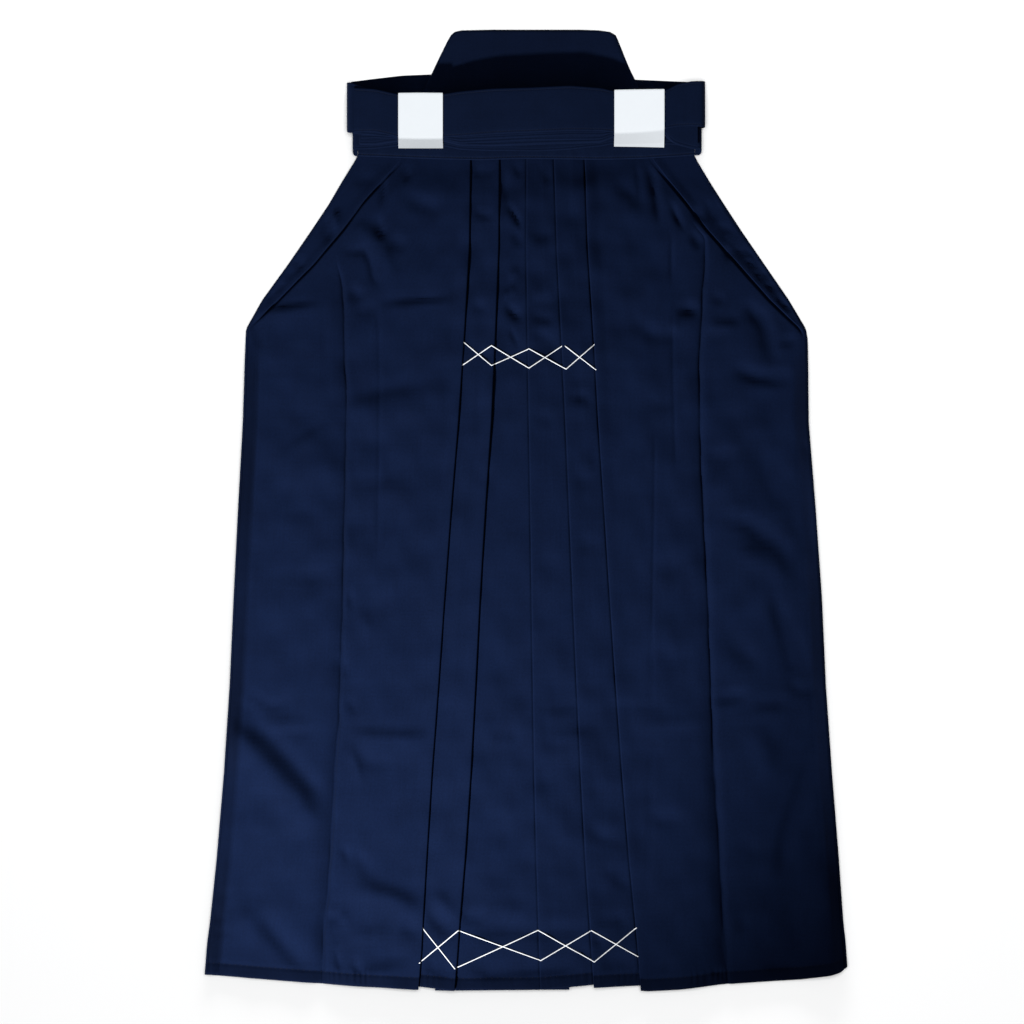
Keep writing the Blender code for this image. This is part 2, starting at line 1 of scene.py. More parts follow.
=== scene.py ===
"""Looks of hakama trousers laid flat with the front up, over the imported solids.

Every piece of cloth is a thin shell on its solid's form, with the creases that lying folded leaves in
it. Sizes are in millimetres, and become metres where a mesh is made. A place on the cloth is (x, s): x
runs to the right from the centre line, and s runs down the front from the seam under the waistband.
Height z is counted from the surface that the garment lies on.
"""
import math

import bpy
import numpy as np
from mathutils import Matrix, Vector
from mathutils.bvhtree import BVHTree


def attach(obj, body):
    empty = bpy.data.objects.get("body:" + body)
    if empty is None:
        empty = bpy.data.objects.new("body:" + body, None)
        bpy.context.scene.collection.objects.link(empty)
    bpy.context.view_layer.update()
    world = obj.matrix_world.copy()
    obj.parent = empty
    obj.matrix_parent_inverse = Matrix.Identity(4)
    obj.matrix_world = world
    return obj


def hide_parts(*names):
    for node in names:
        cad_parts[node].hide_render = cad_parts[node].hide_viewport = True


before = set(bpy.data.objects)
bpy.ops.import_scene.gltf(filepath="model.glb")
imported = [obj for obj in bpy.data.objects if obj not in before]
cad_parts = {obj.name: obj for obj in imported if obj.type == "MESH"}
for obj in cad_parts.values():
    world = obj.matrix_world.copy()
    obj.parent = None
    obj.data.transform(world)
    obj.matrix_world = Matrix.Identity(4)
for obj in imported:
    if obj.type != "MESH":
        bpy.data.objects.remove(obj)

bl_info = {
    "name": "Hakama trousers",
    "version": (1, 0, 0),
    "blender": (4, 5, 0),
    "location": "View3D > Sidebar > Hakama",
    "description": "Cloth shells, ties, bands, sewing and a stage for hakama trousers laid flat",
    "category": "Object",
}

MM = 0.001
BODY = "root"

# Sizes that the solids share
BOARD_TOP = -149.0  # s of the back board's top edge
HEM_LOWEST = 948.3  # s of the lowest point of the front hem
WALL = 1.0  # thickness of the cloth
TIE_WALL = 1.2  # thickness of a tie, which is several layers sewn together
BAND_WALL = 1.0
WAISTBAND_WALL = 1.6
BOARD_WALL = 5.0
GAP = 0.3  # between pieces that touch, and between the layers of a pleat
PAINTED_SHADE_STRENGTH = 0.43  # strength of the shade painted onto the turned-in cloth along the side seams and the hem
PITCH = WALL + GAP  # height from one layer of a pleat to the next
TIE_PITCH = TIE_WALL + GAP
TIE_WIDTH = 50.0
TOP_TUCK = 12.0  # the front panels reach this far up under the waistband
BACK_TOP = -31.0  # s of the back panels' top edge, hidden under the ties
CENTRE_S = (BOARD_TOP + HEM_LOWEST) / 2
FRONT_LIFT = WALL + GAP  # the front panels' lowest layer over the surface, at the sides
NEAR = GAP / 2 + WALL  # outer radius of a fold
SIDES = {"left": -1, "right": 1}  # each side of the garment, and the way in x that it faces


class Table:
    """Rows of sizes under named columns, read by a straight line between two rows."""

    def __init__(self, *columns, rows):
        self.key = columns[0]
        self.values = dict(zip(columns, zip(*rows)))

    def at(self, column, where):
        return np.interp(where, self.values[self.key], self.values[column])

    def eased(self, column, where, reach=2.5):
        """Read with the corners between two straight lines rounded off."""
        around = (-reach, -reach / 2, 0, reach / 2, reach)
        return sum(self.at(column, where + step) for step in around) / len(around)


# The garment's sides, and the inner edges of the flaps that the front's sides make where they are
# folded over onto its face. The flaps narrow downwards and end with the side openings at s = 205.
OUTLINE = Table(
    "s", "left", "flap_left", "flap_right", "right",
    rows=(
        (-31, -180, -133, 135, 181),
        (0, -195, -144, 146, 195),
        (25, -210.5, -167, 165.5, 210),
        (50, -225, -189.5, 186, 226),
        (80, -245, -211.5, 209, 245.5),
        (120, -272.5, -245.5, 245, 273),
        (160, -301.5, -285, 280.5, 300.5),
        (193, -320, -319.5, 315, 320),
        (205, -320.5, -320.5, 322, 322),
        (300, -323.5, -323.5, 323, 323),
        (400, -329, -329, 331, 331),
        (500, -334, -334, 338, 338),
        (600, -338.5, -338.5, 342.5, 342.5),
        (700, -345, -345, 349.5, 349.5),
        (800, -353.5, -353.5, 357.5, 357.5),
        (900, -364, -364, 364.5, 364.5),
        (940, -367, -367, 367, 367),
    ),
)

# The fold edges of the five front pleats. The first two face right, and the others face left.
PLEATS = Table(
    "s", "first", "second", "third", "fourth", "fifth",
    rows=(
        (-12, -63.4, -30.6, 0.9, 32.0, 67.0),
        (0, -63.4, -30.6, 0.9, 32.3, 67.4),
        (100, -64.8, -31.3, 0.5, 35.3, 70.8),
        (200, -70.6, -35.2, 2.0, 40.3, 77.3),
        (300, -77.4, -39.8, 3.5, 45.2, 82.8),
        (400, -85.6, -46.6, 5.2, 49.4, 89.6),
        (500, -93.0, -52.6, 6.6, 53.6, 95.9),
        (600, -99.9, -57.6, 8.1, 58.0, 102.7),
        (700, -107.4, -63.0, 9.7, 62.6, 109.9),
        (800, -113.6, -69.8, 12.1, 68.0, 118.0),
        (900, -119.3, -78.2, 15.2, 74.8, 127.9),
        (947, -123.4, -82.2, 17.1, 77.7, 131.4),
    ),
)

# How far the fold edges spring up off the layer below, in layers. Two rows of thread hold them down.
SPRING = Table(
    "s", "first", "second", "third", "fourth", "fifth",
    rows=(
        (-12, 0.1, 0.1, 0.1, 0.1, 0.2),
        (30, 1.0, 0.8, 0.2, 0.9, 2.4),
        (70, 1.3, 0.7, 0.2, 0.5, 2.3),
        (100, 1.5, 0.8, 0.2, 0.4, 2.0),
        (125, 2.9, 1.1, 0.2, 0.4, 1.9),
        (150, 2.7, 1.4, 0.2, 0.4, 1.9),
        (180, 1.8, 2.0, 0.3, 0.5, 2.2),
        (205, 0.7, 0.7, 0.2, 0.4, 2.0),
        (235, 0.7, 1.2, 0.2, 0.4, 0.8),
        (262, 1.7, 3.3, 0.3, 0.4, 1.2),
        (290, 2.0, 3.2, 0.3, 0.4, 1.3),
        (340, 1.3, 1.8, 0.3, 0.5, 0.9),
        (430, 0.9, 1.1, 0.3, 0.4, 0.8),
        (520, 0.9, 1.0, 0.3, 0.4, 0.8),
        (620, 0.8, 0.9, 0.3, 0.4, 0.7),
        (700, 0.8, 1.1, 0.3, 0.5, 0.7),
        (840, 0.8, 1.3, 0.3, 0.4, 0.6),
        (890, 0.5, 0.8, 0.2, 0.4, 0.5),
        (947, 1.0, 1.8, 0.3, 0.7, 0.7),
    ),
)
SPRING_REACH = 16.0  # a strip springs up over this distance from its fold edge

# The hem of each strip between two pleats. It steps where one strip lies over the next.
HEM = {
    "left": Table("x", "s", rows=((-367, 930), (-281, 937), (-190, 943.5), (-127, 947))),
    "first": Table("x", "s", rows=((-123.4, 943.6), (-82.2, 948))),
    "middle": Table("x", "s", rows=((-82.2, 948), (17.1, 947))),
    "third": Table("x", "s", rows=((17.1, 946.6), (77.7, 941.4))),
    "fourth": Table("x", "s", rows=((77.7, 944.7), (131.4, 942.4))),
    "right": Table(
        "x", "s",
        rows=((131.4, 948.2), (139, 949), (176, 947), (222, 941.3), (313, 935.6), (347, 931),
              (359, 927.6), (367, 921)),
    ),
    "back": Table("x", "s", rows=((-367, 925), (-190, 939), (0, 938), (190, 940), (367, 917))),
}
HEM_READ_AT = 940.0  # s at which the hem's places across are read
HEM_BEND = (860.0, 920.0)  # rows of the cloth take up the hem's curve between these
HEM_TURNING = 13.5  # height of the turned-up hem
HEM_LIP = 2.0  # how much thicker the turned-up hem is
PUCKER = 0.62  # height of the small upright puckers along the hem's stitches
PUCKER_PITCH = 6.4  # from one pucker or hem stitch to the next

# The stiff back board's sides, from its rounded top corners down to its hidden lower edge.
BOARD = Table(
    "s", "left", "right",
    rows=(
        (-149, -40, 62),
        (-148.2, -74, 84),
        (-146.5, -81.5, 96),
        (-142.8, -85.7, 102.5),
        (-137.1, -89.1, 105.1),
        (-125.7, -94.8, 109.7),
        (-114.2, -100.5, 114.2),
        (-100.5, -106.8, 120.2),
        (-81.1, -117, 130.2),
        (-31.3, -141, 155),
    ),
)

# The folded ties across the waist: where each layer's edges lie, top layer first. lift is how far
# the layers stand apart beyond their own gap, between the bands that pinch them.
STACK = Table(
    "x", "lift", "top_upper", "second_upper", "top", "second", "third", "fourth", "lowest",
    rows=(
        (-205, 0.10, -81.1, -89.0, -30.0, -32.0, -24.0, -18.0, -13.0),
        (-196, 0.12, -81.1, -86.0, -30.0, -29.0, -23.0, -17.5, -12.0),
        (-172, 0.12, -79.5, -76.5, -30.5, -26.8, -24.0, -17.0, -12.5),
        (-147, 0.00, -73.8, -71.0, -25.0, -24.0, -22.5, -21.0, -15.4),
        (-120, 0.00, -73.8, -71.0, -24.5, -23.6, -22.4, -21.2, -15.4),
        (-93.5, 0.00, -73.8, -71.0, -24.4, -23.4, -22.1, -20.9, -15.2),
        (-75, 0.12, -76.5, -73.0, -25.5, -20.5, -17.6, -16.0, -11.4),
        (-40, 0.30, -79.5, -73.0, -28.0, -22.7, -18.7, -15.6, -9.5),
        (10, 0.36, -81.0, -76.0, -29.7, -25.4, -21.1, -17.3, -9.5),
        (50, 0.30, -83.0, -77.0, -31.2, -26.8, -21.8, -18.2, -11.4),
        (85, 0.10, -80.5, -77.0, -31.4, -26.3, -22.4, -19.6, -14.8),
        (99, 0.00, -77.3, -74.5, -30.5, -29.2, -27.3, -25.5, -17.9),
        (129, 0.00, -77.6, -74.5, -32.0, -30.4, -28.4, -26.4, -17.9),
        (159, 0.00, -78.2, -75.0, -34.5, -32.5, -30.1, -27.7, -17.7),
        (164, 0.03, -80.5, -76.0, -35.6, -21.0, -21.8, -21.5, -17.4),
        (172, 0.06, -85.0, -77.0, -37.0, -16.5, -19.0, -18.0, -16.8),
        (187, 0.12, -88.5, -78.0, -37.7, -12.3, -15.8, -14.6, -13.2),
        (205, 0.10, -89.1, -78.0, -36.6, -8.3, -12.4, -11.4, -9.6),
    ),
)
LAYER_EDGES = ("lowest", "fourth", "fourth", "fourth", "fourth", "third", "second", "top")  # upwards
TOP_LEVEL = len(LAYER_EDGES) - 1
HIDDEN_INSET = 2.0  # the layers under the top one stay this far inside its upper edge
LAYERS_STEP = 0.25  # layers with the same named edge lie this much apart in s
FRONT_TIE_TURNS = 3  # layers that each front tie makes across the waist
WAISTBAND_LOWER = Table(
    "x", "s",
    rows=((-196, -4.6), (-144, -2.3), (-98, -0.6), (-52, 0.6), (-7, -1.1), (85, 0.0), (130, -1.1),
          (176, -4.0), (196, -5.7)),
)
WAISTBAND_ENDS = (-192.0, 192.8)
BAND_SPANS = {"band_left": (-145.6, -94.8), "band_right": (100.5, 157.6)}
BAND_CLEAR = 0.4  # between a band and the ties inside it
TIE_UNDER_BOARD = 2.0  # how far the back ties reach under the board's edges
FRONT_TIE_REACH = 4.2  # how far a front tie bulges where it turns up from the waistband's end
BACK_TIE_REACH = 5.5
BACK_TIE_MIDDLE = -70.0  # s of the back ties' middle line at the board
BACK_TIE_LEFT = Table(
    "x", "upper", "lower",
    rows=((-205, -89.0, -34.0), (-178, -92.5, -37.0), (-144, -96.5, -41.0), (-107, -99.4, -44.0)),
)
BACK_TIE_RIGHT = Table(
    "x", "upper", "lower",
    rows=((110, -95.0, -42.0), (125, -93.7, -41.5), (142, -91.4, -40.0), (176, -89.9, -37.5),
          (205, -89.1, -36.6)),
)
SIDE_INSET = 0.6  # the back panels end this far inside the front's sides
SEAM_ROLL = 2.6  # width of the rolled side seam that a flap dies out into
FLAP_CLEAR = 6.0  # the front lies level this far past a flap's inner edge before it climbs
BACK_FOLD_X = 0.0  # the back pleat's outer fold
BACK_PLEAT_DEPTH = Table("s", "depth", rows=((-31, 12), (200, 22), (940, 44)))
BACK_PLEAT_RUN = 25.0  # the right back panel comes down to the surface over this distance
BACK_DOME = (48, 130)  # the back's pleated middle is highest out to the first x and ends at the second
GUSSET_TOP = 455.0
GUSSET = Table(
    "s", "left", "right", rows=((455, -12, 22), (560, -40, 48), (720, -60, 70), (900, -74, 84)),
)
OUTER_RUN = 62.0  # an outer panel comes down from its pleat over this distance

# Spacing of the shells' points
FRONT_STEPS = ((-TOP_TUCK, 4.5), (330, 7.6), (600, 5.4))  # s, and how far apart the rows are below it
BACK_STEPS = ((BACK_TOP, 9.0),)
HEM_ROWS = (25, 20, 16.5, 14.5, 13, 11.5, 9, 6, 3, 1, 0.0)  # the last rows are this far above the hem
BESIDE_FLAP = (-0.6, 0, 0.7, 1.3, 1.9, 2.5, 3.1, 3.8, 4.6, 6)  # places inwards from a flap's inner edge
BESIDE_FOLD = (2.2, 1.4, 0.8, 0.2, -0.4, -1.0, -1.8, -2.7)  # and outwards from the long fold
TIE_STEP = 3.5  # between the loops round a tie
FOLD_ANGLES = (-78, -52, -26, 0, 26, 52, 78)  # degrees, the points round a fold
ROUND_EDGE = 0.35  # a cut or hemmed edge is rounded over this distance

# Creases and soft folds of the front, as it came out of its folded pack. Each is a height, its reach
# on the near side (left of a path that runs down, below one that runs across) and on the far side, a
# power (1 a sharp crease, 2 a soft fold), and then x and s of each point of the path that it follows.
# A height below 0 is a trough.
CREASES = (
    # the left panel
    (-1, 4, 3, 1.5, -162, 18, -163, 34, -164, 53), (-1.2, 6, 5, 2, -170, 62, -167, 78, -160, 94),
    (-0.9, 9, 8, 2, -160, 87, -149, 94, -133, 103),
    (0.9, 12, 8, 2, -210, 89, -188, 79, -167, 95, -157, 121, -146, 142),
    (-1.1, 4, 5, 1.5, -216, 94, -202, 104, -185, 103, -178, 115, -175, 134, -162, 151),
    (1, 14, 4, 1.3, -311, 177, -287, 172, -258, 169, -226, 168),
    (-0.6, 3, 6, 1.4, -302, 170, -270, 166, -233, 163),
    (0.8, 14, 4, 1.4, -171, 168, -144, 166, -109, 163, -80, 161, -69, 160),
    (-0.6, 3, 6, 1.4, -176, 163, -144, 161, -109, 159, -75, 157),
    (-1, 8, 7, 2, -206, 144, -194, 153, -183, 162), (-0.7, 9, 9, 2, -201, 174, -183, 171, -164, 170),
    (-0.5, 2.5, 2.5, 1.5, -228, 169, -230, 194, -228, 234, -227, 276),
    (-0.35, 2.5, 2.5, 1.5, -169, 160, -167, 251, -168, 354, -170, 457),
    (0.9, 24, 13, 2, -302, 359, -276, 342, -250, 321, -219, 304),
    (-0.6, 8, 9, 1.8, -286, 335, -250, 310, -217, 292),
    (0.95, 26, 15, 2, -215, 295, -198, 287, -164, 281, -138, 275, -107, 266, -80, 254),
    (-0.5, 9, 10, 1.8, -215, 275, -190, 268, -155, 262, -121, 255),
    (-0.5, 8, 8, 2, -295, 411, -258, 402, -224, 404), (0.6, 16, 16, 2, -270, 366, -235, 354, -201, 354),
    (-0.5, 7, 7, 2, -199, 372, -155, 363, -121, 366), (-0.5, 3, 3, 1.3, -216, 544, -216, 552, -210, 560),
    (-1.3, 8, 9, 1.7, -320, 633, -279, 674, -247, 711, -228, 738),
    (-0.9, 5, 5, 1.7, -322, 605, -292, 624, -263, 617),
    (2.3, 28, 12, 2, -347, 635, -327, 660, -295, 693, -258, 732, -235, 772),
    (0.8, 14, 7, 1.5, -209, 651, -190, 657, -150, 659, -105, 660),
    (-0.4, 5, 6, 1.6, -209, 642, -190, 648, -150, 650, -105, 651),
    (-0.4, 3, 3, 1.3, -340, 616, -315, 628, -295, 635), (-0.6, 9, 9, 2, -199, 676, -176, 688, -144, 690),
    (0.6, 18, 18, 2, -315, 731, -302, 777, -302, 822), (-0.6, 8, 8, 2, -201, 784, -183, 806, -176, 827),
    (-2, 8, 10, 1.8, -306, 854, -294, 874, -278, 896, -262, 914, -249, 928),
    (1.2, 18, 10, 2, -329, 845, -315, 880, -302, 902), (-1, 3.5, 3.5, 1.6, -219, 902, -216, 910, -210, 928),
    (-1, 4, 4, 1.6, -202, 913, -196, 920, -185, 930),
    (-1.6, 7, 9, 1.8, -199, 923, -178, 917, -159, 914, -138, 910, -119, 908),
    (1, 10, 10, 2, -206, 885, -176, 886, -146, 882),
    (2, 18, 11, 2, -206, 832, -178, 836, -154, 843, -133, 853, -114, 867),
    (-0.3, 7, 9, 2, -194, 818, -167, 822, -139, 832, -117, 848),
    (-0.4, 3, 3, 1.2, -183, 849, -167, 851, -151, 853), (-1.4, 7, 7, 1.6, -146, 870, -133, 877, -118, 885),
    (-0.35, 3, 3, 1.2, -244, 846, -224, 846, -198, 849),
    (0.5, 2.5, 2.5, 1.5, -216, 861, -208, 866, -200, 861),
    (-0.5, 2.5, 2.5, 1.5, -216, 876, -208, 873, -199, 873),
    (-0.5, 4, 4, 1.6, -358, 841, -345, 840, -332, 838), (-0.6, 5, 5, 1.8, -361, 865, -352, 866, -340, 867),
    (-0.5, 4, 4, 1.6, -361, 883, -347, 882, -334, 882), (-0.9, 4, 4, 1.6, -138, 2, -136, 14, -133, 27),
    (-1, 10, 9, 2, -149, 32, -127, 46, -94, 61), (-0.9, 5, 4, 1.8, -307, 178, -306, 196, -305, 217),
    # the strips between the pleats
    (-0.8, 4, 4, 1.8, -63, 14, -48, 14, -33, 10), (-0.8, 4, 4, 1.8, -64, 59, -48, 63, -32, 65),
    (-0.6, 6, 6, 2, -64, 164, -53, 168, -41, 169), (-0.7, 5, 5, 2, -55, 219, -45, 224, -35, 226),
    (-1.5, 7, 9, 1.8, -117, 854, -104, 867, -93, 877, -78, 886),
    (1.1, 8, 8, 2, -117, 836, -98, 846, -85, 860, -75, 875),
    (-1.3, 6, 8, 1.8, -117, 915, -101, 923, -82, 930),
    (-1.4, 3.5, 3.5, 1.4, -24, 48, -17, 57, -10, 67, -3, 83), (-1.1, 7, 7, 2, -13, 75, -9, 89, -7, 103),
    (0.8, 3.5, 3.5, 1.3, -30, 160, -23, 155, -16, 150, -7, 153),
    (-1.4, 5, 5, 1.6, -26, 163, -18, 171, -11, 177, -2, 184), (0.6, 4, 4, 1.8, -22, 134, -15, 130, -6, 127),
    (-0.7, 3, 3, 1.6, -21, 190, -14, 201, -7, 215), (-0.6, 5, 5, 2, -27, 3, -24, 23, -23, 53),
    (-0.7, 4, 4, 1.8, -11, 0, -9, 9, -7, 21), (-0.9, 5, 5, 1.8, -79, 857, -64, 864, -43, 866),
    (0.6, 14, 14, 2, -64, 822, -39, 834, -9, 836), (-1, 7, 7, 2, 2, 177, 18, 180, 37, 184),
    (-0.5, 7, 7, 2, 2, 89, 22, 87, 34, 80), (-0.6, 5, 5, 2, 19, 2, 23, 14, 26, 30),
    (-0.7, 7, 7, 2, 5, 194, 21, 203, 39, 216),
    (-1.3, 7, 8, 1.8, -69, 886, -30, 877, 16, 882, 53, 878, 75, 873),
    (0.9, 12, 9, 2, -73, 845, -41, 854, -5, 857, 16, 843),
    (-1.5, 6, 8, 1.8, -69, 921, -41, 928, -2, 925, 34, 923, 66, 916),
    (-0.8, 4, 4, 1.8, 55, 901, 64, 904, 77, 909), (-0.5, 5, 5, 2, 43, 270, 57, 270, 73, 267),
    (-1, 7, 7, 2, 71, 870, 87, 868, 103, 866, 123, 872), (-1, 5, 5, 1.8, 74, 884, 82, 890, 91, 896),
    (-1.3, 6, 8, 1.8, 82, 921, 102, 916, 126, 912), (-0.7, 5, 5, 1.8, 94, 820, 107, 824, 123, 828),
    (0.5, 5, 5, 1.3, -55, 659, -30, 663, -5, 664), (0.5, 5, 5, 1.3, 14, 660, 39, 659, 62, 657, 87, 653),
    (-0.5, 8, 8, 2, 5, 297, 22, 295, 39, 302), (-0.5, 8, 8, 2, 7, 457, 25, 464, 46, 464),
    (-0.5, 7, 7, 2, -64, 354, -48, 363, -30, 363),
    # the right panel, and more small ones everywhere
    (-1.6, 5, 4, 1.7, 139, 5, 146, 21, 149, 41, 150, 75), (-1, 4, 4, 1.7, 167, 46, 171, 62, 180, 82),
    (-0.85, 20, 30, 2, 219, 272, 254, 320, 288, 368, 315, 423, 329, 464),
    (-0.8, 6, 8, 1.8, 174, 167, 187, 170, 201, 171), (-0.6, 6, 8, 1.8, 208, 180, 228, 183, 254, 178),
    (-0.7, 9, 10, 2, 130, 190, 153, 201, 187, 203), (-0.5, 7, 8, 2, -2, 160, 22, 166, 39, 164),
    (-0.5, 7, 8, 2, 5, 211, 25, 217, 41, 215), (0.5, 7, 8, 2, 5, 155, 22, 151, 37, 152),
    (-0.6, 7, 8, 2, 55, 268, 66, 272, 78, 272), (-0.5, 7, 8, 2, 53, 361, 66, 366, 82, 363),
    (0.5, 7, 9, 2, 53, 347, 66, 350, 80, 347), (-0.6, 7, 8, 2, 57, 434, 71, 440, 87, 438),
    (-0.9, 8, 9, 2, 66, 756, 85, 772, 103, 777, 121, 781), (-0.6, 7, 8, 2, 78, 809, 98, 813, 121, 813),
    (-0.7, 6, 4, 1.8, -208, 485, -199, 500, -201, 516), (0.6, 6, 5, 1.8, -199, 516, -183, 528, -174, 541),
    (-0.8, 5, 4, 1.6, -224, 569, -210, 576, -199, 589), (-0.6, 5, 5, 1.8, -212, 617, -199, 621, -192, 635),
    (0.7, 7, 5, 1.8, -206, 665, -194, 688, -187, 715), (-0.7, 5, 5, 1.8, -217, 784, -206, 790, -201, 806),
    (-0.8, 5, 4, 1.6, -240, 861, -222, 865, -206, 868), (-0.7, 5, 5, 1.8, -224, 889, -208, 884, -199, 891),
    (-0.5, 4, 4, 1.6, -295, 471, -258, 473, -212, 477), (0.6, 10, 7, 1.8, -320, 649, -286, 644, -238, 642),
    (-0.5, 5, 5, 1.8, -302, 657, -270, 655, -224, 652), (-0.7, 5, 5, 1.8, 206, 617, 233, 610, 258, 605),
    (-0.9, 5, 5, 1.8, 208, 619, 242, 613, 258, 608), (-0.8, 5, 5, 1.8, 258, 612, 267, 620, 302, 617),
    (-0.9, 6, 5, 1.8, 292, 589, 313, 605, 343, 605), (-0.5, 4, 4, 1.6, 7, 627, 39, 625, 73, 621),
    (-0.6, 4, 5, 1.6, 82, 623, 119, 624, 171, 625), (-1, 5, 4, 1.6, -231, 59, -224, 75, -219, 91),
    (0.8, 4, 4, 1.6, -219, 53, -216, 71, -217, 89), (-0.6, 4, 4, 1.6, -272, 112, -260, 119, -254, 130),
    (-0.6, 4, 4, 1.6, -302, 146, -290, 155, -286, 164), (-0.6, 4, 4, 1.6, 212, 32, 219, 53, 217, 78),
    (-0.7, 3, 3, 1.5, 251, 105, 263, 110, 274, 107), (-0.7, 3, 3, 1.5, 258, 123, 274, 128, 286, 126),
    (-0.7, 3, 3, 1.5, 272, 144, 286, 146, 297, 144), (-0.7, 3, 3, 1.5, 286, 162, 297, 167, 306, 164),
    (-0.6, 2.5, 2.5, 1.4, 167, 73, 166, 109, 166, 149), (-1.1, 5, 5, 1.8, 190, 53, 196, 62, 204, 71),
    (-1, 6, 6, 2, 187, 80, 194, 91, 202, 102), (-0.9, 5, 5, 2, 224, 102, 230, 106, 236, 112),
    (-1, 8, 6, 2, 164, 170, 182, 170, 200, 169), (1, 5, 11, 1.5, 199, 194, 212, 192, 225, 191, 244, 186),
    (-1.5, 9, 9, 2, 235, 170, 256, 171, 268, 180, 275, 196, 279, 219, 286, 238),
    (0.5, 5, 5, 1.5, 160, 185, 169, 190, 178, 194), (-0.5, 5, 5, 2, 209, 154, 219, 158, 230, 161),
    (-0.9, 5, 5, 2, 286, 209, 299, 207, 312, 204),
    (-1.7, 7, 8, 2, 233, 231, 244, 240, 263, 247, 286, 249, 313, 248),
    (-0.5, 8, 8, 2, 130, 272, 153, 279, 180, 279),
    (-1.8, 8, 9, 2, 217, 409, 235, 411, 254, 416, 279, 434, 310, 459),
    (0.9, 14, 8, 2, 224, 452, 254, 452, 281, 464, 313, 491), (0.8, 10, 10, 2, 224, 440, 250, 446, 273, 464),
    (-1.9, 9, 9, 2, 279, 491, 291, 521, 302, 548, 320, 599),
    (-1.6, 9, 10, 2, 334, 674, 318, 717, 299, 772, 286, 822),
    (-0.3, 2, 2, 1.4, 147, 308, 146, 411, 144, 525, 143, 640),
    (-0.3, 2, 2, 1.4, 143, 663, 142, 754, 139, 845), (-0.3, 2.5, 2.5, 1.4, 167, 160, 168, 251, 171, 354),
    (0.5, 5, 5, 1.3, 117, 648, 153, 644, 187, 642, 224, 637), (0.5, 5, 5, 1.3, 224, 637, 263, 635, 306, 631),
    (-0.8, 9, 9, 2, 240, 866, 249, 873, 258, 877), (-0.9, 5, 5, 1.8, 265, 917, 290, 920, 320, 920),
    (-0.9, 10, 9, 2, 98, 25, 119, 39, 139, 56), (-0.7, 3.5, 3.5, 1.7, 129, 1, 129, 23, 128, 48),
    (-0.8, 10, 10, 2, 115, 171, 135, 192, 155, 217), (-0.7, 9, 9, 2, 130, 457, 158, 464, 187, 457),
    (-0.7, 10, 10, 2, 142, 560, 171, 571, 199, 564), (-0.9, 10, 10, 2, 226, 548, 249, 562, 270, 585),
    (0.8, 12, 12, 2, 254, 640, 272, 674, 279, 720), (-0.8, 9, 9, 2, 130, 745, 158, 754, 192, 752),
    (-0.8, 10, 10, 2, 238, 777, 263, 790, 290, 788), (-0.6, 4, 4, 1.8, 142, 916, 158, 921, 178, 923),
    (-0.7, 4, 4, 1.8, 206, 923, 217, 928, 233, 932), (-0.8, 6, 6, 2, 313, 320, 327, 334, 331, 354),
    (-0.7, 7, 7, 2, 199, 334, 224, 340, 249, 334),
    # the flaps and the cloth beside them
    (-1.2, 3.5, 3, 1.5, -232, 67, -228, 81, -224, 98), (0.8, 3, 3, 1.6, -218, 55, -218, 69, -218, 83),
    (-0.6, 4, 4, 1.8, -267, 113, -259, 117, -251, 121), (-0.6, 4, 4, 1.8, -278, 127, -270, 129, -263, 133),
    (-0.5, 4, 4, 1.8, -289, 142, -281, 145, -274, 147), (-0.6, 7, 7, 2, -199, 18, -185, 21, -171, 16),
    (-0.8, 5, 5, 2, 209, 43, 211, 55, 215, 72), (-0.7, 4, 4, 1.8, 217, 77, 226, 78, 238, 78),
    (-0.7, 3.5, 3.5, 1.8, 236, 104, 248, 104, 260, 103), (-1, 3, 3, 1.7, 249, 117, 259, 118, 271, 120),
    (-1, 3, 3, 1.7, 259, 133, 270, 131, 280, 131), (-0.9, 3, 3, 1.7, 272, 144, 280, 144, 290, 145),
    (-0.8, 2.5, 2.5, 1.7, 282, 157, 289, 157, 297, 157), (-0.8, 2.5, 2.5, 1.7, 291, 166, 298, 166, 305, 167),
    (-0.7, 2.5, 2.5, 1.7, 300, 180, 307, 180, 314, 180),
)
# The long sharp folds down the two outer panels, left by the pack that the garment came in.
FOLD_LINES = Table(
    "s", "left", "right",
    rows=(
        (75, -218, 204.5), (117, -216, 205), (146, -209.5, 202.2), (165, -208, 202), (211, -207.3, 199),
        (246, -206, 198), (274, -204.5, 199), (308, -205.6, 199), (366, -206, 201), (434, -208, 204.5),
        (503, -209.2, 208), (565, -211, 210), (640, -213.6, 212.8), (697, -218, 215.6), (765, -221.6, 220),
        (840, -226.5, 224), (882, -231, 226.5), (916, -232, 229), (939, -233, 231),
    ),
)
FOLD_LINE_CLEAR = 12.0  # they stay this far inside the flaps' inner edges
FOLD_LINE_DEPTH = 3.0
FOLD_LINE_TOPS = {"left": 108, "right": 66}  # s at which each of them starts

CREASE_DEPTH = 3.3  # all the creases are this many times as high or deep
CREASE_FADE = 34.0  # a crease dies out over no more than this at each end
PUFF = 6.0  # how far the front stands off the layers below, away from its edges
PUFF_FADE = 80  # it rises to that over this distance from the side seams
FLAP_GROOVE = 4.0  # depth of the groove that the flaps' stitches pull into the cloth beside them
WAVES = (  # slack in the cloth: the length of each wave, its direction in degrees, its start and height
    (61, 12, 0.3, 0.5), (47, 74, 1.9, 0.45), (38, -38, 4.1, 0.36), (83, -65, 2.2, 0.7),
    (29, 33, 5.3, 0.22), (23, 96, 0.8, 0.13), (19, -12, 3.4, 0.08), (33, 58, 1.1, 0.2),
)
SEAM_ALLOWANCE = 14.5  # width of the turned-in cloth along the side seams
SEAM_STEP = 3.0  # how much it lifts the edge
SEAM_STARTS = (200, 240)  # the s over which the seams begin, under the side openings
UNDER_SHARE = 0.54  # share of a strip that its own hidden layers reach under
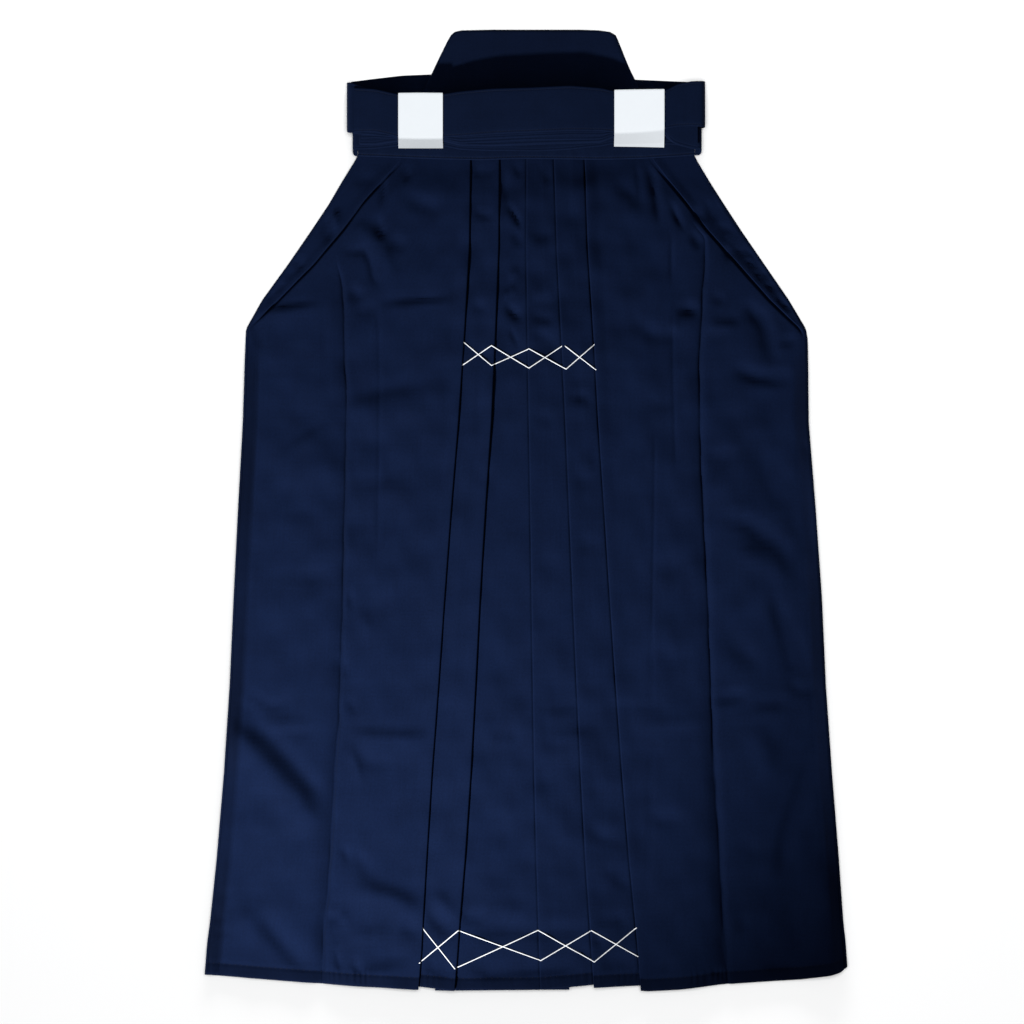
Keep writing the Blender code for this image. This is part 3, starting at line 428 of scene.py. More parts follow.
FOLD_SHADE = (2.8, 1.9, 1.2, 0.6, 0.0, -1.0)  # places beside a fold edge, where the layer below sinks
FOLD_SINK = 0.6  # how far it sinks, in layers, and more where the edge springs up
FOLD_SINK_MOST = 1.3
RIGHT_ROLL = 9.0  # the lower right side arches up before it rolls down to its edge
FLAP_SPRING = 0.9  # how far a flap's inner edge springs up, in layers
FLAP_SPRING_REACH = 12.0
TOPSTITCH_IN = 2.6  # from an edge to its topstitching

# The white basting threads' paths, as (x, s)
BASTING = (
    ((-71.3, 207.9), (-39.4, 234.9), (3.4, 215.8), (45.7, 239.0), (79.2, 209.8)),
    ((-74.6, 235.9), (-39.4, 212.2), (3.4, 237.8), (41.8, 212.2)),
    ((43.8, 212.2), (81.1, 240.8)),
    ((-119.0, 875.6), (-81.2, 923.0), (13.9, 879.3), (77.9, 915.1), (127.1, 875.6)),
    ((-122.8, 917.6), (-77.3, 879.3), (16.7, 913.6), (74.7, 879.3), (129.7, 910.4)),
)

# Stage, in metres
FLOOR_Z = -0.0003
FLOOR_HALF = 6.0  # half the floor's width
TOP_AT = (0.0, 0.0, 4.0)
KEY_AT = (-0.66, -1.42, 0.97)
KEY_TARGET = (-0.05, 0.16, 0.0)
SIDE_AT = (-1.55, -0.25, 0.55)
KEY_CONE = math.radians(48)
LOW_AT = (0.0, 2.6, 0.6)
LOW_TARGET = (0.0, -0.4, 0.0)
VIEW_CENTRE = (-0.016, -0.00245)
VIEW_LEVEL = 0.005  # the frame's width is measured at this height, the cloth's middle
RAYS_FROM = 0.2  # threads find the cloth below them from this height


def smooth(low, high, value):
    """0 up to low, 1 from high on, and a soft step between."""
    share = np.clip((np.asarray(value, float) - low) / (high - low), 0.0, 1.0)
    return share * share * (3 - 2 * share)


def dome(x, inner, outer):
    """1 within inner of the centre line, and 0 beyond outer."""
    return 1 - smooth(inner, outer, np.abs(x))


def spread(start, end, steps):
    return [start + (end - start) * step / steps for step in range(steps + 1)]


def place(x, s, z):
    """Places of the garment as points of the model, in metres."""
    return np.stack(np.broadcast_arrays(np.multiply(x, MM), (CENTRE_S - np.asarray(s)) * MM,
                                        np.multiply(z, MM)), axis=-1)


# Heights

def crease_shape(x, s, near, far, power, path):
    """1 along a path of x and s in turn, fading to 0 beside it and towards its two ends."""
    away = np.full(x.shape, 1e9)
    aside = np.zeros(x.shape)
    along = np.zeros(x.shape)
    length = 0.0
    xs, ss = path[::2], path[1::2]
    for x0, s0, x1, s1 in zip(xs, ss, xs[1:], ss[1:]):
        step = math.hypot(x1 - x0, s1 - s0)
        run = ((x - x0) * (x1 - x0) + (s - s0) * (s1 - s0)) / step
        side = ((s - s0) * (x1 - x0) - (x - x0) * (s1 - s0)) / step
        inside = np.clip(run, 0, step)
        distance = np.hypot(run - inside, side)
        nearer = distance < away
        away = np.where(nearer, distance, away)
        aside = np.where(nearer, side, aside)
        along = np.where(nearer, length + inside, along)
        length += step
    reach = np.where(aside > 0, near, far)
    fade = min(0.42 * length, CREASE_FADE)
    ends = smooth(0, fade, along) * (1 - smooth(length - fade, length, along))
    return ends * np.exp(-((away / reach) ** power))


def crease_relief(x, s):
    """Height that the creases add or take away at places of the front."""
    total = np.zeros(x.shape)
    for height, near, far, power, *path in CREASES:
        margin = 3.2 * max(near, far)
        xs, ss = path[::2], path[1::2]
        close = (x > min(xs) - margin) & (x < max(xs) + margin)
        close &= (s > min(ss) - margin) & (s < max(ss) + margin)
        total[close] += height * crease_shape(x[close], s[close], near, far, power, path)
    return total


def side_edges(side, s):
    """A side's sign and place, its flap's inner edge, and that edge again, but as the edge of the
    seam's roll below the side opening."""
    sign = SIDES[side]
    side_x, flap_x = OUTLINE.at(side, s), OUTLINE.at("flap_" + side, s)
    return sign, side_x, flap_x, side_x - sign * np.maximum(sign * (side_x - flap_x), SEAM_ROLL)


def side_distance(x, s):
    """Distance inside the nearer side of the garment."""
    return np.minimum(x - OUTLINE.at("left", s), OUTLINE.at("right", s) - x)


def slack(x, s):
    """The cloth's own unevenness: long low waves that cross, stronger in some places than in others."""
    total = 0
    for length, degrees, start, height in WAVES:
        angle = math.radians(degrees)
        along = x * math.cos(angle) + s * math.sin(angle)
        bent = 0.9 * np.sin((s * math.cos(angle) - x * math.sin(angle)) / (2.3 * length) + 2 * start)
        total = total + height * np.sin(2 * math.pi * along / length + start + bent)
    return total * (0.75 + 0.45 * np.sin(x / 71 + 1.2) * np.sin(s / 93 + 0.4))


def flap_groove(x, s):
    """The groove along a flap's inner edge, on the side of the cloth that the flap leaves bare."""
    total = 0
    for side in SIDES:
        sign, side_x, flap_x, inner = side_edges(side, s)
        inside, width = sign * (inner - x), sign * (side_x - flap_x)
        uneven = 1 + 0.35 * np.sin(s / 9.7 + sign) * np.sin(s / 23 + 2 * sign)
        shape = np.exp(-((inside - 2.2) / 1.9) ** 2) * smooth(0.2, 1.4, inside)
        total = total + shape * uneven * smooth(0, 9, width)
    return total


def fold_line(side, s):
    """Place of the long fold on one side."""
    sign, _, _, inner = side_edges(side, s)
    return sign * np.minimum(sign * FOLD_LINES.at(side, s), sign * inner - FOLD_LINE_CLEAR)


def fold_line_relief(x, s):
    """Depth of the two long folds: a sharp trough, with the cloth on its outer side sunk towards it."""
    total = 0
    for side, top in FOLD_LINE_TOPS.items():
        away = x - fold_line(side, s) - 0.5 * np.sin(s / 7.7) * np.sin(s / 31)
        uneven = 1 + 0.3 * np.sin(s / 23 + 1) * np.sin(s / 61)
        sharp = np.exp(-(np.abs(away) / 1.5) ** 1.3) * uneven
        heavy = 1 + 0.9 * smooth(600, 700, s) * (1 - smooth(905, 935, s))
        outwards, inwards = np.maximum(-away, 0), np.maximum(away, 0)
        sunk = 0.9 * heavy * np.exp(-(outwards / 9.0) ** 1.6) * np.exp(-(inwards / 2.2) ** 1.4)
        total = total + (sharp * 0.75 + sunk) * smooth(top, top + 45, s)
    return FOLD_LINE_DEPTH * total


def pleat_dip(x, s):
    """How far the layers sink between two pleats, so that each strip slopes evenly down to the next."""
    total = 0
    for high, low in (("second", "first"), ("third", "fourth"), ("fourth", "fifth")):
        start, end = PLEATS.at(high, s), PLEATS.at(low, s)
        share = np.clip((x - start) / (end - start), 0, 1)
        total = total + np.minimum(share, UNDER_SHARE * (1 - share) / (1 - UNDER_SHARE))
    return 2 * PITCH * total


def seam_allowance(x, s):
    """The turned-in cloth along the side seams: thickest at the edge, with a dip where it ends."""
    edge = side_distance(x, s)
    lip = SEAM_STEP * np.clip(1 - edge / SEAM_ALLOWANCE, 0, 1)
    dip = 0.7 * np.exp(-((edge - SEAM_ALLOWANCE - 0.8) / 1.7) ** 2)
    return (lip - dip * (1 + 0.4 * np.sin(s / 17) * np.sin(s / 5.3))) * smooth(*SEAM_STARTS, s)


def front_relief(x, s):
    """Height of the front over the flat layers below it."""
    edge = side_distance(x, s)
    seam = SEAM_ALLOWANCE * smooth(*SEAM_STARTS, s)
    stands = PUFF * (0.3 + 0.7 * smooth(seam - 2, seam + PUFF_FADE, edge)) * smooth(-4, 46, s)
    stands *= smooth(-0.5, 4, edge) * (1 - 0.4 * smooth(890, 945, s))
    inside = OUTLINE.at("right", s) - x
    roll = RIGHT_ROLL * smooth(0, 17, inside) * (1 - smooth(17, 62, inside)) * smooth(780, 845, s)
    creased = CREASE_DEPTH * crease_relief(x, s) * smooth(-2, 8, edge) * smooth(-6, 3, s)
    creased = creased + slack(x, s) * smooth(2, 30, edge) * smooth(0, 30, s)
    height = stands + roll + seam_allowance(x, s) + creased - FLAP_GROOVE * flap_groove(x, s)
    height = height - fold_line_relief(x, s) - pleat_dip(x, s) * smooth(-6, 30, s)
    return (height + np.sqrt(height * height + 0.2)) / 2


def back_top(x):
    """Height that clears the back panels and their pleat."""
    return WALL + 2 * PITCH * dome(x, *BACK_DOME)


def gusset_share(x, s):
    return dome(x, 90, 160) * smooth(GUSSET_TOP - 70, GUSSET_TOP - 5, s)


def front_base(x, s):
    """Height of the underside of the front's lowest layer."""
    return back_top(x) + GAP + PITCH * gusset_share(x, s) + front_relief(x, s)


def flat_base(x, s):
    """The back lies on the surface, and rises only where its own edges curl."""
    return 0.25 * smooth(0.1, 0.9, np.sin(x / 31 + s / 57) * np.sin(x / 47 - s / 83)) + 0 * s


def waistband_base(x):
    return FRONT_LIFT + 2 * PITCH * (1 + dome(x, *BACK_DOME)) + 1.8 * dome(x, 160, 189)


def stack_base(x):
    """Height of the underside of the folded ties, over the waistband and the bands' lower runs."""
    return waistband_base(x) + WAISTBAND_WALL + GAP + BAND_WALL + BAND_CLEAR


# Sections across the panels

def underlap(fold, s):
    """How far a pleat's hidden layers reach behind its fold edge."""
    if fold in ("first", "fifth"):
        return 28 + 0.03 * max(s, 0)
    pairs = {"second": ("first", "second"), "third": ("third", "fourth"), "fourth": ("fourth", "fifth")}
    one, other = pairs[fold]
    return UNDER_SHARE * (PLEATS.at(other, s) - PLEATS.at(one, s))


class Section:
    """One row of points across a panel, along the middle of its cloth. Each point has its x, its
    level in layers, the way that the wall's first face looks, and the strip whose hem it follows."""

    def __init__(self, s):
        self.s = s
        self.points = []
        self.strips = []

    def run(self, strip, xs, levels, heading, sprung=None):
        """Points of a layer. sprung names the fold edge that the layer springs up towards."""
        for x, level in zip(xs, np.broadcast_to(levels, len(xs))):
            raised = level + (self.spring(sprung, x) if sprung else 0)
            self.points.append((x, raised, 0.0, heading))
        self.strips += [strip] * len(xs)

    def spring(self, name, x):
        away = abs(x - PLEATS.at(name, self.s))
        return SPRING.at(name, self.s) * (1 - smooth(1, SPRING_REACH, away))

    def fold(self, strip, edge, side, start, end, sprung=None):
        """Points round a fold whose outermost point is at edge, from one level to the next."""
        rise = 1 if end > start else -1
        centre = edge - side * NEAR
        raised = self.spring(sprung, centre) if sprung else 0
        for degrees in FOLD_ANGLES:
            angle = math.radians(degrees * rise)
            out_x, out_z = side * math.cos(angle), math.sin(angle)
            turn = -rise * side
            level = (start + end) / 2 + math.sin(angle) / 2 + raised
            self.points.append((centre + out_x * PITCH / 2, level, turn * out_x, turn * out_z))
        self.strips += [strip] * len(FOLD_ANGLES)


def outer_places(side, pleat_inner, s):
    """Places across an outer panel from its side to where it has climbed over its pleat, closest
    beside the flap's inner edge and at the long fold, and their levels."""
    sign, side_x, flap_x, edge = side_edges(side, s)
    foot = sign * min(sign * pleat_inner + OUTER_RUN, sign * flap_x - FLAP_CLEAR)
    start = side_x - sign * NEAR
    line = fold_line(side, s)
    places = [start + (edge + sign * 0.6 - start) * share for share in (0, 0.25, 0.5, 0.75)]
    places += [edge - sign * away for away in BESIDE_FLAP]
    near, far = edge - sign * BESIDE_FLAP[-1], line + sign * 3.2
    places += [near + (far - near) * share for share in (0.03, 0.06, 0.09, 0.12, *spread(0.16, 1, 21))]
    places += [line + sign * away for away in BESIDE_FOLD]
    places += spread(line - sign * 4.2, pleat_inner, 56)
    return places, [2 * smooth(0, 0.95, (x - foot) / (pleat_inner - foot)) for x in places]


def sunk_beside(name, edge, side, s, slope=0.0):
    """Places and levels of the layer that shows just beside a fold edge, going towards the edge.
    side is the side of the edge that it shows on, and slope is its rise away from the edge."""
    uneven = 1 + 0.25 * math.sin(s / 13) * math.sin(s / 29)
    deep = min(FOLD_SINK + 0.35 * SPRING.at(name, s), FOLD_SINK_MOST) * uneven
    places = [edge + side * away for away in FOLD_SHADE]
    levels = [slope * max(away, 0) - deep * math.exp(-((away - 0.5) / 1.0) ** 2) for away in FOLD_SHADE]
    return places, levels


def ramp(start, end, low, high, steps):
    """Places and levels of a layer that climbs or falls evenly between two places."""
    return spread(start, end, steps), spread(low, high, steps)


def flap(side, s):
    """Places and levels across a flap from its inner edge, which springs up, to its fold."""
    sign, side_x, flap_x, inner = side_edges(side, s)
    places = spread(inner, side_x - sign * NEAR, 14)
    lively = FLAP_SPRING * smooth(3, 14, sign * (side_x - flap_x))
    return places, [1 + lively * (1 - smooth(0.5, FLAP_SPRING_REACH, abs(x - inner))) for x in places]


def backwards(places, levels):
    return places[::-1], levels[::-1]


def front_left_section(s):
    """The left front's layers from its flap's inner edge to its hidden centre edge."""
    first, second, third = (PLEATS.at(name, s) for name in ("first", "second", "third"))
    deep_first, deep_second = first - underlap("first", s), second - underlap("second", s)
    end = third + underlap("third", s)
    slope = 2 / (deep_second - 1 - first)
    row = Section(s)
    row.run("left", *flap("left", s), -1)
    row.fold("left", OUTLINE.at("left", s), -1, 1, 0)
    row.run("left", *outer_places("left", deep_first - 2, s), 1)
    row.run("left", spread(deep_first - 0.5, first - NEAR, 14), 2, 1, "first")
    row.fold("left", first, 1, 2, 1, "first")
    row.run("first", spread(first - NEAR, deep_first + NEAR, 5), 1, -1, "first")
    row.fold("first", deep_first, -1, 1, 0)
    row.run("first", spread(deep_first + NEAR, first - 4, 3), 0, 1)
    row.run("first", *backwards(*sunk_beside("first", first, 1, s, slope)), 1)
    row.run("first", *ramp(first + 4, deep_second - 1, 4 * slope, 2, 7), 1)
    row.run("first", spread(deep_second + 1, second - NEAR, 9), 2, 1, "second")
    row.fold("first", second, 1, 2, 1, "second")
    row.run("middle", spread(second - NEAR, deep_second + NEAR, 4), 1, -1, "second")
    row.fold("middle", deep_second, -1, 1, 0)
    row.run("middle", spread(deep_second + NEAR, second - 3, 2), 0, 1)
    row.run("middle", *backwards(*sunk_beside("second", second, 1, s)), 1)
    row.run("middle", spread(second + 4, third - 4, 22), 0, 1)
    row.run("middle", *sunk_beside("third", third, -1, s), 1)
    row.run("middle", spread(third + 5, end, 3), 0, 1)
    return row


def right_pleat(row, strip, name, fold_x, deep_x, following=None):
    """A right-hand pleat: its hidden return, its fold edge, and its strip down to the next pleat,
    which following gives by its name and fold edge."""
    row.run(strip, spread(deep_x - NEAR, fold_x + NEAR, 4), 1, -1, name)
    row.fold(strip, fold_x, -1, 1, 2, name)
    row.run(strip, spread(fold_x + NEAR, deep_x + 1, 12), 2, 1, name)
    if following:
        next_name, next_x = following
        slope = 2 / (next_x - deep_x - 1)
        row.run(strip, *ramp(deep_x + 2.5, next_x - 4, 2 - 1.5 * slope, 4 * slope, 7), 1)
        row.run(strip, *sunk_beside(next_name, next_x, -1, row.s, slope), 1)
        row.run(strip, spread(next_x + 3, next_x + 0.8 * (next_x - deep_x), 3)[:-1], 0, 1)


def front_right_section(s):
    """The right front's layers from its hidden centre edge to its flap's inner edge."""
    edges = {name: PLEATS.at(name, s) for name in ("third", "fourth", "fifth")}
    third, fourth, fifth = edges.values()
    deep = [edge + underlap(name, s) for name, edge in edges.items()]
    row = Section(s)
    right_pleat(row, "third", "third", third, deep[0], ("fourth", fourth))
    row.run("fourth", (deep[1] - NEAR,), 0, 1)
    row.fold("fourth", deep[1], 1, 0, 1)
    right_pleat(row, "fourth", "fourth", fourth, deep[1], ("fifth", fifth))
    row.run("right", (deep[2] - NEAR,), 0, 1)
    row.fold("right", deep[2], 1, 0, 1)
    right_pleat(row, "right", "fifth", fifth, deep[2])
    row.run("right", *backwards(*outer_places("right", deep[2] + 2, s)), 1)
    row.fold("right", OUTLINE.at("right", s), 1, 0, 1)
    row.run("right", *backwards(*flap("right", s)), -1)
    return row


def back_left_section(s):
    deep = BACK_FOLD_X - BACK_PLEAT_DEPTH.at("depth", s)
    row = Section(s)
    row.run("back", spread(OUTLINE.at("left", s) + SIDE_INSET, BACK_FOLD_X - NEAR, 46), 0, 1)
    row.fold("back", BACK_FOLD_X, 1, 0, 1)
    row.run("back", spread(BACK_FOLD_X - NEAR, deep, 5), 1, -1)
    return row


def back_right_section(s):
    deep = BACK_FOLD_X - BACK_PLEAT_DEPTH.at("depth", s)
    foot = BACK_FOLD_X + BACK_PLEAT_RUN
    row = Section(s)
    row.run("back", spread(deep, BACK_FOLD_X, 5), 2, 1)
    row.run("back", *ramp(BACK_FOLD_X + 2, foot, 2, 0, 8), 1)
    row.run("back", spread(foot + 4, OUTLINE.at("right", s) - SIDE_INSET, 42), 0, 1)
    return row


# Meshes

def signed_volume(points, quads):
    corners = points[quads]
    one = np.einsum("ij,ij->i", corners[:, 0], np.cross(corners[:, 1], corners[:, 2])).sum()
    return one + np.einsum("ij,ij->i", corners[:, 0], np.cross(corners[:, 2], corners[:, 3])).sum()


def add_object(name, data):
    """A new object in the scene, at its origin."""
    made = bpy.data.objects.new(name, data)
    bpy.context.scene.collection.objects.link(made)
    return made


def mesh_object(name, points, quads, weave, smooth_angle=50):
    """A closed, smooth-shaded mesh. weave gives each point's place on the flat cloth, in metres."""
    points, quads = np.asarray(points, float), np.asarray(quads)
    if signed_volume(points, quads) < 0:
        quads = quads[:, ::-1]
    mesh = bpy.data.meshes.new(name)
    mesh.from_pydata(points.tolist(), [], quads.tolist())
    corners = np.empty(len(mesh.loops), dtype=np.int32)
    mesh.loops.foreach_get("vertex_index", corners)
    flat = mesh.uv_layers.new(name="weave")
    flat.data.foreach_set("uv", np.asarray(weave, float)[corners].ravel())
    mesh.polygons.foreach_set("use_smooth", [True] * len(mesh.polygons))
    mesh.set_sharp_from_angle(angle=math.radians(smooth_angle))
    mesh.update()
    return add_object(name, mesh)


def loft(name, loops, weave, ring=False):
    """A closed solid through loops of equal length. Each loop's first half faces its second half, so
    an end is closed by strips between them. A ring joins its last loop to its first."""
    loops = np.asarray(loops, float)
    rows, count = loops.shape[:2]
    index = np.arange(rows * count).reshape(rows, count)
    beside = np.roll(index, -1, axis=1)
    below, corner = np.roll(index, -1, axis=0), np.roll(beside, -1, axis=0)
    used = rows if ring else rows - 1
    quads = np.stack((index, beside, corner, below), axis=-1)[:used].reshape(-1, 4)
    if not ring:
        k = np.arange(count // 2 - 1)
        cap = np.stack((k, count - 1 - k, count - 2 - k, k + 1), axis=-1)
        quads = np.concatenate((quads, cap, cap[:, ::-1] + (rows - 1) * count))
    return mesh_object(name, loops.reshape(-1, 3), quads, np.asarray(weave).reshape(-1, 2))


def hem_places(strips, x):
    """The hem's s under every point."""
    hem = np.zeros(x.shape)
    for strip in set(strips):
        of_strip = np.array([name == strip for name in strips])
        hem[:, of_strip] = HEM[strip].at("s", x[:, of_strip])
    return hem


def hem_relief(x, above):
    """Height that the turned-up hem and the puckers along its stitches add."""
    lip = HEM_LIP * np.clip(1 - above / HEM_TURNING, 0, 1) * smooth(-0.5, 1.5, above)
    wave = np.sin(2 * math.pi * (x / PUCKER_PITCH + 0.5 * np.sin(x / 19) + 0.35 * np.sin(x / 7.3)))
    strong = 0.6 + 0.4 * smooth(0.2, 0.9, np.sin(x / 37 + 5.1) * 0.5 + 0.5)
    reach = (1 - smooth(HEM_TURNING - 2, HEM_TURNING + 9, above)) * (0.35 + 0.65 * smooth(0, 9, above))
    pulled = -0.7 * np.exp(-((above - HEM_TURNING) / 1.4) ** 2)
    return lip + PUCKER * wave * strong * reach + pulled


def shell(name, x, s, middle, wall, out=(0.0, 1.0), across=None):
    """A closed shell over rows of points: a wall about its middle, which out looks away from."""
    weave = np.stack(((x if across is None else across) * MM, s * MM), axis=-1)
    upper = place(x + wall / 2 * out[0], s, middle + wall / 2 * out[1])
    lower = place(x - wall / 2 * out[0], s, middle - wall / 2 * out[1])
    loops = np.concatenate((upper, lower[:, ::-1]), axis=1)
    return loft(name, loops, np.concatenate((weave, weave[:, ::-1]), axis=1))


def paint_seam_and_hem_shade(obj, x, s, hem):
    """Paints shade onto the turned-in cloth along the sides and along the hem, and a darker line where the
    seam allowance ends: painted shade in place of the light that these tilted parts turn away.
    """
    inside = side_distance(x, s)
    # painted shade: the seams' turned-in band and the line where it ends, then the turned-up hem
    seams = (1 - smooth(SEAM_ALLOWANCE - 1, SEAM_ALLOWANCE + 2, inside)) * smooth(205, 245, s)
    seams = seams + 0.45 * np.exp(-((inside - SEAM_ALLOWANCE) / 1.6) ** 2) * smooth(205, 245, s)
    turned = 1 - smooth(HEM_TURNING - 0.5, HEM_TURNING + 1.5, hem - s)
    painted_shade_mask = np.maximum(seams * (0.75 + 0.25 * np.sin(s / 41 + x / 300)), 0.8 * turned)
    both_faces = np.concatenate((painted_shade_mask, painted_shade_mask[:, ::-1]), axis=1)
    made = obj.data.attributes.new("turned_in", "FLOAT", "POINT")
    made.data.foreach_set("value", both_faces.ravel().astype(np.float32))


def panel_rows(steps):
    """Rows from a panel's top edge, at each step from where it starts, with closer ones at the hem."""
    starts = [start for start, _ in steps] + [HEM_READ_AT - 30]
    body = [np.arange(start, end, step) for (start, step), end in zip(steps, starts[1:])]
    return np.concatenate((*body, HEM_READ_AT - np.array(HEM_ROWS)))


def build_panel(name, section, steps, base, hemmed):
    """A panel's shell: rows of its section from its top edge to its hem, with a rounded last row."""
    rows = panel_rows(steps)
    sections = [section(s) for s in rows]
    x, level, out_x, out_z = np.moveaxis(np.array([row.points for row in sections]), -1, 0)
    nominal = np.broadcast_to(rows[:, None], x.shape)
    hem = hem_places(sections[0].strips, x)
    s = nominal + (hem - HEM_READ_AT) * smooth(*HEM_BEND, nominal)
    height = base(x, s) + level * PITCH + WALL / 2
    if hemmed:
        height += hem_relief(x, hem - s)
    arrays = [x, s, height, out_x, out_z, np.full(x.shape, WALL)]
    last = [a[-1:] for a in arrays]
    last[1], last[5] = last[1] + ROUND_EDGE, last[5] * 0.5
    x, s, height, out_x, out_z, wall = (np.concatenate(pair) for pair in zip(arrays, last))
    steps_across = np.hypot(np.diff(x, axis=1), np.diff(height, axis=1))
    across = np.concatenate((np.zeros((len(x), 1)), np.cumsum(steps_across, axis=1)), axis=1)
    made = shell(name, x, s, height, wall, (out_x, out_z), across)
    if hemmed:
        paint_seam_and_hem_shade(made, x, s, hem_places(sections[0].strips, x))
    return made


# Ties

TIE_SEAM = 0.895  # share of a tie's half width at which its topstitching lies
TIE_SEAM_DEPTH = 0.42  # how far the topstitching draws the tie thinner
TIE_HALF = (1.0, 0.99, 0.965, 0.93, 0.912, TIE_SEAM, 0.878, 0.85, 0.72, 0.45, 0.2, 0.0)
TIE_ACROSS = [-share for share in TIE_HALF[:-1]] + list(TIE_HALF[::-1])
SURFACE_FOLDS = (
    (-0.3, 3.0, 3.0, 2, -83.4, -53.7, -40.0, -54.5, -3.4, -53.7),
    (-0.3, 2.5, 2.5, 2, 78.8, -59.4, 98.2, -59.4),
    (-0.3, 2.0, 3.0, 1.5, 157.6, -37.7, 178.0, -38.4, 199.9, -38.8),
)


def tie_thickness(share):
    """A tie is several layers, turned in at both edges: they are round, and a topstitch draws the
    cloth down beside them."""
    drawn = TIE_SEAM_DEPTH * math.exp(-((abs(share) - TIE_SEAM) / 0.014) ** 2)
    return TIE_WALL * (0.3 + 0.7 * math.sqrt(max(0.0, 1 - abs(share) ** 22)) - drawn)


def layer_edges(level, x):
    """Upper and lower edge of one layer of the folded ties."""
    name = LAYER_EDGES[level]
    same_above = LAYER_EDGES[level:].count(name) - 1
    stray = 0.35 * math.sin(x / (17 + 3 * level) + 2.3 * level) * min(1.0, STACK.at("lift", x) * 5)
    lower = STACK.eased(name, x) + LAYERS_STEP * same_above + stray
    if name in ("top", "second"):
        return STACK.eased(name + "_upper", x), lower
    return max(lower - TIE_WIDTH, STACK.eased("top_upper", x) + HIDDEN_INSET), lower


def layer_height(level, x):
    """Height of the middle of one layer of the folded ties."""
    return stack_base(x) + TIE_WALL / 2 + level * (TIE_PITCH + STACK.eased("lift", x, 6))


class Ribbon:
    """Loops round a tie, taken along its length, with each point's place on its flat cloth."""

    def __init__(self):
        self.loops = []
        self.weave = []
        self.length = 0.0
        self.last = None

    def add(self, x, z, out, edges, slant=(0, 0), top=False):
        """One loop. slant moves the two edges' ends in x, and top adds the topmost layer's folds."""
        middle = ((edges[0] + edges[1]) / 2, x + sum(slant) / 2, z)
        if self.last:
            self.length += math.dist(middle, self.last)
        self.last = middle
        faces = {1: [], -1: []}
        flats = {1: [], -1: []}
        for share in TIE_ACROSS:
            part = (share + 1) / 2
            s = edges[0] + (edges[1] - edges[0]) * part
            here = x + slant[0] + (slant[1] - slant[0]) * part
            raised = surface_relief(here, s) if top else 0.0
            for side in (1, -1):
                offset = side * tie_thickness(share) / 2
                faces[side].append((here + offset * out[0], s, z + raised + offset * out[1]))
                flats[side].append((self.length * MM, s * MM))
        self.loops.append(faces[1] + faces[-1][::-1])
        self.weave.append(flats[1] + flats[-1][::-1])

    def layer(self, level, start, end):
        """Across the waist on one level."""
        heading = 1 if end > start else -1
        steps = max(2, round(abs(end - start) / TIE_STEP))
        for x in spread(start, end, steps):
            self.add(x, layer_height(level, x), (0, heading), layer_edges(level, x), top=level == TOP_LEVEL)

    def turn(self, edge, reach, low, high, low_edges, high_edges):
        """Round the end of the folded ties, climbing from height low to height high. edge is the
        outermost x, and reach is how far the turn bulges."""
        side = 1 if edge > 0 else -1
        half, bulge = (high - low) / 2, reach - TIE_WALL / 2
        centre = edge - side * reach
        for degrees in (-75, -60, -45, -30, -15, 0, 15, 30, 45, 60, 75):
            angle = math.radians(degrees)
            out = np.array((side * math.cos(angle) / bulge, math.sin(angle) / half))
            out /= -side * np.linalg.norm(out)
            share = (math.sin(angle) + 1) / 2
            edges = [a + (b - a) * share for a, b in zip(low_edges, high_edges)]
            x, z = centre + side * bulge * math.cos(angle), (low + high) / 2 + half * math.sin(angle)
            self.add(x, z, out, edges)

    def finish(self, name):
        loops = np.array(self.loops)
        return loft(name, place(loops[..., 0], loops[..., 1], loops[..., 2]), self.weave)


def surface_relief(x, s):
    """The faint folds along the topmost tie."""
    x, s = np.array([x]), np.array([s])
    return sum(fold[0] * crease_shape(x, s, *fold[1:4], fold[4:])[0] for fold in SURFACE_FOLDS)


def front_tie(name, side, first_level, start_x, turn_edge, inner_ends):
    """A front tie: it leaves the waistband's end, turns up, and goes across the waist and back."""
    low = waistband_base(start_x) + WAISTBAND_WALL / 2
    lower = WAISTBAND_LOWER.at("s", start_x)
    band_edges = (lower - TIE_WIDTH, lower)
    here = turn_edge - side * FRONT_TIE_REACH
    ribbon = Ribbon()
    for x in (start_x + side * GAP, here):
        ribbon.add(x, low, (0, side), band_edges)
    high = layer_height(first_level, here)
    ribbon.turn(turn_edge, FRONT_TIE_REACH, low, high, band_edges, layer_edges(first_level, here))
    for turn, far in enumerate(inner_ends):
        level = first_level + turn
        ribbon.layer(level, here, far)
        if turn + 1 < FRONT_TIE_TURNS:
            low_z, high_z = layer_height(level, far), layer_height(level + 1, far)
            reach = (high_z - low_z) / 2 + TIE_WALL / 2
            ribbon.turn(far + math.copysign(reach, far), reach, low_z, high_z,
                        layer_edges(level, far), layer_edges(level + 1, far))
        here = far
    return ribbon.finish(name)


def back_tie(name, side, table, column, level, turn_edge, far_end):
    """A back tie: it leaves the board's side, lies on the surface, turns up round the folded ties,
    and crosses over them."""
    low = TIE_WALL / 2
    turn_x = turn_edge - side * BACK_TIE_REACH
    upper, lower = (table.at(edge, BOARD.at(column, BACK_TIE_MIDDLE)) for edge in ("upper", "lower"))
    start = tuple(BOARD.at(column, s) - side * TIE_UNDER_BOARD for s in (upper, lower))
    ribbon = Ribbon()
    ribbon.add(0, low, (0, side), (upper, lower), slant=start)
    for x in spread(start[1] + side * 6, turn_x, 12):
        ribbon.add(x, low, (0, side), (table.eased("upper", x), table.eased("lower", x)))
    low_edges = (table.at("upper", turn_edge), table.at("lower", turn_edge))
    ribbon.turn(turn_edge, BACK_TIE_REACH, low, layer_height(level, turn_x), low_edges,
                layer_edges(level, turn_x))
    ribbon.layer(level, turn_x, far_end)
    return ribbon.finish(name)


